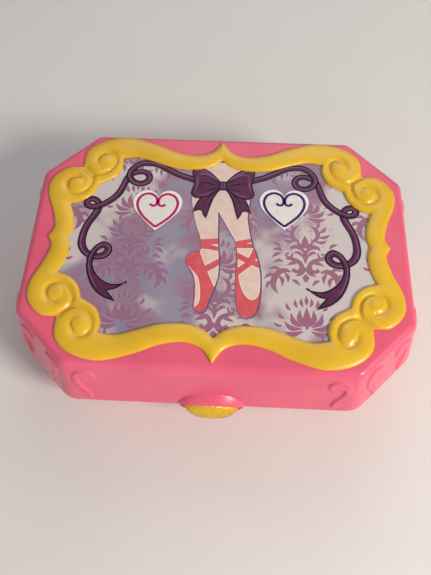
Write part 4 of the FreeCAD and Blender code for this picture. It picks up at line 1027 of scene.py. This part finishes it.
def heart_stickers():
    """Two die-cut stickers: white border, curled heart line, and off-white middle."""
    border, middle = Parts(), Parts()
    for place, colour, main, shade in HEARTS:
        film(border, heart_loop(HEART_HALF) + place, STICKER_FOOT, STICKER_TOP)
        film(middle, heart_loop(HEART_HALF - HEART_BORDER) + place, STICKER_TOP, STICKER_TOP + 0.02)
        line = Parts()
        for sign in (-1, 1):
            path = [(place[0] + sign * x, place[1] + y, HEART_LINE_WIDTH, LID_TOP + STICKER_TOP + 0.04)
                    for x, y in HEART_LINE]
            stroke(line, path, step=0.5)
        dress(line.build("heart_line_" + colour), ink("ink_" + colour, main, shade), "lid", "sticker")
    white = ink("ink_white", (240, 238, 236), (232, 230, 228))
    dress(border.build("heart_borders"), white, "lid", "sticker", "heart_stickers")
    cream = ink("ink_off_white", (232, 226, 218), (224, 218, 210))
    dress(middle.build("heart_middles"), cream, "lid", "sticker")


# ---------------------------------------------------------------- button face

# The button's dome, as in the CAD, and half of the leaves' outline as (x, height over its middle)
DOME_ROOT, DOME_RISE, DOME_X, DOME_Z = 74.6, 5.8, 13.5, 8.3
INLAY = [(3.4, -4.2), (4.4, -2.8), (6.6, -1.8), (9.0, -1.3), (10.8, -1.2), (10.2, -2.6), (8.4, -4.2),
         (5.8, -5.2)]


def dome(flat):
    """How far the button's face stands out at places of (x, height over its middle)."""
    share = 1 - (flat[:, 0] / DOME_X) ** 2 - (flat[:, 1] / DOME_Z) ** 2
    return DOME_ROOT + DOME_RISE * np.sqrt(np.maximum(share, 0))


def on_button(parts, loop, sink, proud):
    """Adds a plate that follows the button's domed face, from a sink inside it to proud of it."""
    grid = np.array([(x, z) for x in np.arange(-12, 12, 0.6) for z in np.arange(-8, 8, 0.6)])
    face = Parts()
    plate(face, [loop], lambda flat: dome(flat) - sink, lambda flat: dome(flat) + proud,
          grid[inside(grid, shrink(loop, 0.3))])
    parts.add([(x, -out, BUTTON_LEVEL + z) for x, z, out in face.points], face.faces)


def button_face():
    """The gold heart in the middle of the button, and a purple leaf low on each side of it."""
    heart, leaves = Parts(), Parts()
    on_button(heart, heart_loop(4.6) + (0, -0.4), 0.9, 0.12)
    for side in (-1, 1):
        leaf = smooth_run([(side * x, z) for x, z in INLAY], 0.4, closed=True)
        on_button(leaves, leaf[::side], 0.2, 0.1)
    dress(heart.build("button_heart"), GOLD, "latch", "gold_plastic")
    purple = moulded("purple_plastic", (120, 52, 140), (104, 42, 124), 0.3).material
    dress(leaves.build("button_leaves"), purple, "latch", "purple_plastic", "button_emblem")


# ---------------------------------------------------------------- dancer

HUB_R, HUB_HALF, PIN_ROOM = 2.6, 3.0, 1.2
TUTU_R, TUTU_WAIST, PLEATS = 9.3, 2.3, 28


def laid(x, y, up):
    """A place on the dancer, drawn standing on the pivot and facing -Y, as it lies under the lid."""
    return (x, PIVOT_Y - up, PIVOT_Z + y)


def skin_over(parts, rings):
    """A closed body over rings of places on the dancer."""
    parts.add(*lofted([[laid(*p) for p in ring] for ring in rings]))


# Rings that round off a limb's ends, as (way along it, size), both in shares of its radius
LIMB_START, LIMB_END = [(-0.9, 0.4), (-0.6, 0.8), (0, 1)], [(0, 1), (0.6, 0.8), (0.9, 0.4)]


def limb(parts, path, sides=16):
    """A rounded limb along a smooth path of (x, y, up, radius)."""
    run = smooth_run([(p[2], p[0], p[1], p[3]) for p in path], 0.5)
    spine, radii = run[:, [1, 2, 0]], run[:, 3]
    flow = np.gradient(spine, axis=0)
    flow /= np.linalg.norm(flow, axis=1)[:, None]
    turns = [2 * math.pi * i / sides for i in range(sides)]
    ends = {0: LIMB_START, len(run) - 1: LIMB_END}
    rings = []
    for k, (middle, along, r) in enumerate(zip(spine, flow, radii)):
        u = np.cross(along, (0, 1, 0.001))
        u /= np.linalg.norm(u)
        v = np.cross(along, u)
        for lift, share in ends.get(k, [(0, 1)]):
            rings.append([middle + along * lift * r + (u * math.cos(a) + v * math.sin(a)) * r * share
                          for a in turns])
    skin_over(parts, rings)


def trunk(parts, sections, sides=28):
    """A body from (up, half width, half depth, forward) sections."""
    run = smooth_run([(up, 0, wide, deep, front) for up, wide, deep, front in sections], 0.4)
    rings = []
    for up, _, wide, deep, front in run:
        turns = [2 * math.pi * i / sides for i in range(sides)]
        rings.append([(wide * math.cos(a), deep * math.sin(a) - front, up) for a in turns])
    skin_over(parts, rings)


def pebble(parts, x, y, up, rx, ry, rz, tilt=0.0, sides=14, rows=8):
    """A small smooth ellipsoid, tilted in the plane of the face."""
    rings = []
    for k in range(rows + 1):
        a = math.pi * (0.04 + 0.92 * k / rows)
        ring = []
        for i in range(sides):
            b = 2 * math.pi * i / sides
            px, pz = rx * math.sin(a) * math.cos(b), -rz * math.cos(a)
            ring.append((x + px * math.cos(tilt) - pz * math.sin(tilt), y + ry * math.sin(a) * math.sin(b),
                         up + px * math.sin(tilt) + pz * math.cos(tilt)))
        rings.append(ring)
    skin_over(parts, rings)


TORSO = [(27.0, 1.75, 1.4, 0.0), (28.6, 2.0, 1.6, 0.1), (30.6, 2.35, 1.9, 0.35), (31.8, 2.4, 1.7, 0.3),
         (33.0, 2.6, 1.35, 0.0), (33.9, 2.1, 1.2, 0.0), (34.6, 1.0, 0.95, 0.0), (35.4, 0.8, 0.8, 0.0),
         (36.6, 0.8, 0.85, 0.1)]
BODICE = [(23.8, 2.1, 1.9, 0.0), (25.0, 2.25, 1.95, 0.0), (26.4, 1.9, 1.6, 0.0), (27.4, 1.85, 1.55, 0.0),
          (28.8, 2.12, 1.72, 0.1), (30.6, 2.48, 2.02, 0.38), (31.8, 2.5, 1.85, 0.36), (32.1, 2.3, 1.6, 0.3)]
HEAD = [(36.1, 0.5, 0.6, 0.7), (36.5, 1.0, 1.1, 0.6), (37.3, 1.6, 1.7, 0.3), (38.4, 1.95, 2.2, 0.1),
        (39.6, 2.1, 2.35, 0.0), (40.6, 1.85, 2.1, 0.0), (41.3, 1.2, 1.4, 0.0), (41.6, 0.5, 0.6, 0.0)]
LEG = [(0.9, 0.0, 24.4, 1.35), (0.85, -0.1, 20.0, 1.2), (0.7, -0.1, 15.0, 0.85), (0.68, 0.1, 11.6, 0.95),
       (0.6, 0.0, 7.0, 0.55), (0.58, 0.0, 5.4, 0.6)]
SHOE = [(0.58, 0.0, 6.6, 0.62), (0.58, 0.05, 5.2, 0.72), (0.55, -0.1, 3.4, 0.72), (0.5, -0.1, 1.6, 0.55)]
ARM = [(2.5, 0.0, 33.0, 0.9), (4.4, -0.1, 35.0, 0.85), (6.2, -0.2, 38.2, 0.66), (6.6, -0.3, 41.0, 0.62),
       (5.4, -0.4, 44.6, 0.52), (3.4, -0.5, 46.6, 0.42), (2.2, -0.5, 47.0, 0.5), (1.0, -0.5, 46.9, 0.25)]


def mirrored(path, side):
    return [(side * p[0], *p[1:]) for p in path]


def dancer():
    """A calm generic dancer on points with arms in a ring, and the hub that turns on the pin."""
    body, hair, bodice, shoes, lids, lips = Parts(), Parts(), Parts(), Parts(), Parts(), Parts()
    trunk(body, TORSO)
    trunk(body, HEAD)
    pebble(body, 0, -2.28, 38.7, 0.24, 0.42, 0.55)
    for side in (-1, 1):
        limb(body, mirrored(LEG, side))
        limb(body, mirrored(ARM, side))
        limb(shoes, mirrored(SHOE, side))
        pebble(body, side * 2.05, 0.0, 38.9, 0.25, 0.4, 0.55)
        pebble(lids, side * 0.82, -1.98, 39.15, 0.42, 0.2, 0.13, side * 0.12)
        pebble(lids, side * 0.86, -1.92, 39.95, 0.5, 0.18, 0.09, side * -0.1)
        for turn in range(3):
            up = 8.0 + 1.1 * turn
            limb(shoes, [(side * 0.62 + 0.62 * math.cos(a), 0.02 + 0.62 * math.sin(a), up + 0.08 * a, 0.1)
                         for a in np.linspace(0, 2 * math.pi, 10)], 6)
    pebble(lips, 0, -2.12, 37.75, 0.5, 0.22, 0.2)
    pebble(hair, 0, 0.45, 39.9, 2.25, 2.2, 2.0, sides=24, rows=14)
    pebble(hair, 0, 1.2, 41.7, 1.3, 1.3, 1.1, sides=20, rows=12)
    trunk(bodice, BODICE)
    hub = Parts()
    tube_along_x(hub, HUB_R, PIVOT_Y, PIVOT_Z, -HUB_HALF, HUB_HALF)
    bore = Parts()
    tube_along_x(bore, PIN_ROOM, PIVOT_Y, PIVOT_Z, -HUB_HALF - 1, HUB_HALF + 1)
    stand = hub.build("dancer_hub", sharp=40)
    boolean(stand, bore.build("bore"), "DIFFERENCE")
    stand.data.set_sharp_from_angle(angle=math.radians(40))
    skin = moulded("dancer_skin", (236, 196, 172), (228, 184, 160), 0.45, Subsurface_Weight=0.08,
                   Subsurface_Scale=0.0006).material
    dress(body.build("dancer_body"), skin, "dancer", "dancer_skin", "dancer_figure")
    dress(stand, skin, "dancer", "dancer_skin")
    for parts, name, main, shade, roughness in (
            (hair, "dancer_hair", (96, 58, 36), (78, 46, 28), 0.42),
            (bodice, "dancer_bodice", (226, 96, 140), (214, 84, 128), 0.35),
            (shoes, "dancer_shoes", (222, 94, 98), (206, 82, 92), 0.3),
            (lids, "dancer_lashes", (70, 44, 32), (60, 38, 28), 0.5),
            (lips, "dancer_lips", (204, 92, 96), (196, 84, 90), 0.4)):
        dress(parts.build(name), moulded(name, main, shade, roughness).material, "dancer", "dancer_skin")


def tulle():
    """Fine net: part of the light passes, more through the holes between its threads."""
    shader = Shader("tutu_tulle", Roughness=0.7, Sheen_Weight=0.3, Transmission_Weight=0.15)
    net = shader.node("ShaderNodeTexVoronoi", {"Vector": shader.coords, "Scale": 3200.0},
                      feature="DISTANCE_TO_EDGE")
    hole = shader.ramp(net.outputs["Distance"], 0.05, 0.3)
    shader.set("Base Color", shader.mix(hole, rgb(244, 180, 206), rgb(252, 214, 228)))
    shader.set("Alpha", shader.ramp(hole, 0.0, 1.0, 0.98, 0.72))
    shader.bump(net.outputs["Distance"], 0.00005)
    return shader.material


def tutu_layer(name, low, droop, phase, material):
    """One pleated ring of tulle, gathered at the waist; returns it."""
    thick, columns, rows = 0.1, PLEATS * 10, 10
    rings = []
    for side in (thick / 2, -thick / 2):
        ring_rows = []
        for k in range(rows + 1):
            t = k / rows
            r = TUTU_WAIST + (TUTU_R - TUTU_WAIST) * t
            ring = []
            for i in range(columns):
                a = 2 * math.pi * i / columns
                wave = (0.42 * t ** 0.7 * math.sin(PLEATS * a + phase)
                        + 0.12 * t * math.sin(5 * a + 2 * phase))
                ring.append((r * math.cos(a), r * math.sin(a), low - droop * t * t + wave + side))
            ring_rows.append(ring)
        rings += ring_rows if side > 0 else ring_rows[::-1]
    points = [laid(*p) for ring in rings for p in ring]
    count, faces = len(rings), []
    for k in range(count):
        a, b = k * columns, (k + 1) % count * columns
        faces += [(a + i, b + i, b + (i + 1) % columns, a + (i + 1) % columns) for i in range(columns)]
    piece = mesh_object(name, points, faces)
    dress(piece, material, "dancer", "tutu_tulle")
    return piece


def tutu():
    """Two gathered layers of tulle, in place of the CAD's tutu."""
    net = tulle()
    upper = tutu_layer("tutu_upper", 26.0, 0.2, 0.0, net)
    lower = tutu_layer("tutu_lower", 25.2, 0.5, 1.7, net)
    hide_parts("dancer_tutu")


# ---------------------------------------------------------------- carried CAD nodes

def assign(material, *names):
    for name in names:
        mesh = NODES[name].data
        mesh.materials.clear()
        mesh.materials.append(material)


def carried_materials():
    """Gives every CAD node that stays in view the material of its slot."""
    glass = Shader("mirror_sheet", Metallic=1.0, Roughness=0.04)
    haze = glass.ramp(glass.noise(60.0, 4.0), 0.45, 0.8)
    glass.set("Base Color", glass.mix(haze, rgb(236, 238, 242), rgb(230, 233, 238)))
    lilac = moulded("lilac_plastic", (190, 160, 205), (178, 148, 196), 0.38, Coat_Weight=0.1)
    white = moulded("white_plastic", (226, 224, 220), (214, 212, 206), 0.4)
    rubber = moulded("foot_rubber", (58, 56, 60), (46, 44, 48), 0.75, grain=2400.0, depth=0.0001)
    brass = metal("gear_brass", (214, 170, 92), (176, 132, 66))
    steel = metal("spring_steel", (176, 178, 184), (130, 134, 142), 0.25)
    screws = metal("screw_steel", (196, 196, 198), (150, 150, 154), 0.3)
    gilt = metal("movement_plate", (200, 168, 104), (168, 136, 80), 0.3, (120.0, 2500.0, 120.0))
    assign(PINK, "base_shell")
    assign(YELLOW, "winding_knob")
    assign(GOLD, "latch_button")
    assign(glass.material, "mirror")
    assign(lilac.material, "stage_tray", "lid_liner", "turntable")
    assign(white.material, "latch_hook", "stop_rod", "worm_fan")
    assign(rubber.material, "feet")
    assign(screws.material, "case_screws", "movement_screws", "comb_screws", "lid_screws", "hinge_pins",
           "dancer_pin")
    assign(steel.material, "comb", "click_spring", "latch_spring", "stop_spring", "dancer_spring",
           "mainspring", "winding_arbor", "spindle", "cylinder_arbor", "governor_arbor")
    assign(gilt.material, "bedplate", "barrel_bridge", "cylinder_brackets", "governor_frame", "comb_seat")
    assign(brass.material, "spring_barrel", "barrel_cover", "note_cylinder", "contrate_wheel",
           "cylinder_gear", "governor_wheel")


# ---------------------------------------------------------------- stage and camera

FLOOR_LEVEL, FLOOR_RINGS, FLOOR_SIDES = -0.02, (300, 700, 1600), 96


def paper_floor():
    """A plain pale round floor, a hair under the feet."""
    turns = [2 * math.pi * i / FLOOR_SIDES for i in range(FLOOR_SIDES)]
    after = [(i + 1) % FLOOR_SIDES for i in range(FLOOR_SIDES)]
    points = [(0, 0, FLOOR_LEVEL)]
    for radius in FLOOR_RINGS:
        points += [(radius * math.cos(a), radius * math.sin(a), FLOOR_LEVEL) for a in turns]
    faces = [(0, 1 + i, 1 + j) for i, j in enumerate(after)]
    for k in range(len(FLOOR_RINGS) - 1):
        a, b = 1 + k * FLOOR_SIDES, 1 + (k + 1) * FLOOR_SIDES
        faces += [(a + i, b + i, b + j, a + j) for i, j in enumerate(after)]
    floor = mesh_object("floor", points, faces)
    shader = Shader("floor_paper", Roughness=0.8)
    shader.set("Base Color", shader.mix(shader.noise(20.0), rgb(226, 223, 218), rgb(221, 218, 213)))
    floor.data.materials.append(shader.material)


def lights():
    """A warm key light from the right, soft fills from the left and behind, and a pale sky."""
    for name, place, size, power, tint in (
            ("key", (0.66, -0.50, 0.62), 0.26, 8.6, (1.0, 0.95, 0.87)),
            ("fill", (-0.50, -0.85, 0.40), 0.8, 1.5, (0.95, 0.87, 1.0)),
            ("back", (0.1, 0.9, 0.8), 0.8, 3.0, (1.0, 0.98, 0.96))):
        lamp = bpy.data.lights.new(name, "AREA")
        lamp.size, lamp.energy, lamp.color = size, power, tint
        holder = bpy.data.objects.new(name, lamp)
        holder.location = place
        aim = Vector((0, 0, 0.03)) - holder.location
        holder.rotation_euler = aim.to_track_quat("-Z", "Y").to_euler()
        bpy.context.scene.collection.objects.link(holder)
    world = bpy.data.worlds.new("studio")
    world.use_nodes = True
    sky = world.node_tree.nodes["Background"]
    sky.inputs["Color"].default_value = (0.92, 0.94, 1.0, 1.0)
    sky.inputs["Strength"].default_value = 0.30
    bpy.context.scene.world = world
    bpy.context.scene.view_settings.view_transform = "Standard"


def camera():
    """A view from the front, high up, turned slightly: its axes, then its place in millimetres."""
    right = Vector((0.99889, 0.04699, -0.00346))
    down = Vector((0.04013, -0.88703, -0.45996))
    ahead = Vector((-0.02468, 0.45931, -0.88794))
    lens = bpy.data.cameras.new("view")
    lens.sensor_width, lens.lens = 36.0, 37.57
    lens.clip_start, lens.clip_end = 0.01, 20.0
    eye = bpy.data.objects.new("view", lens)
    turn = Matrix((right, -down, -ahead)).transposed()
    eye.matrix_world = Matrix.Translation(Vector((7.13, -159.84, 322.15)) * MM) @ turn.to_4x4()
    bpy.context.scene.collection.objects.link(eye)
    bpy.context.scene.camera = eye


camera()
paper_floor()
lights()
carried_materials()
button_face()
lid_shell()
lid_frame()
picture_ground()
damask()
dancer_legs()
ribbons()
heart_stickers()
dancer()
tutu()
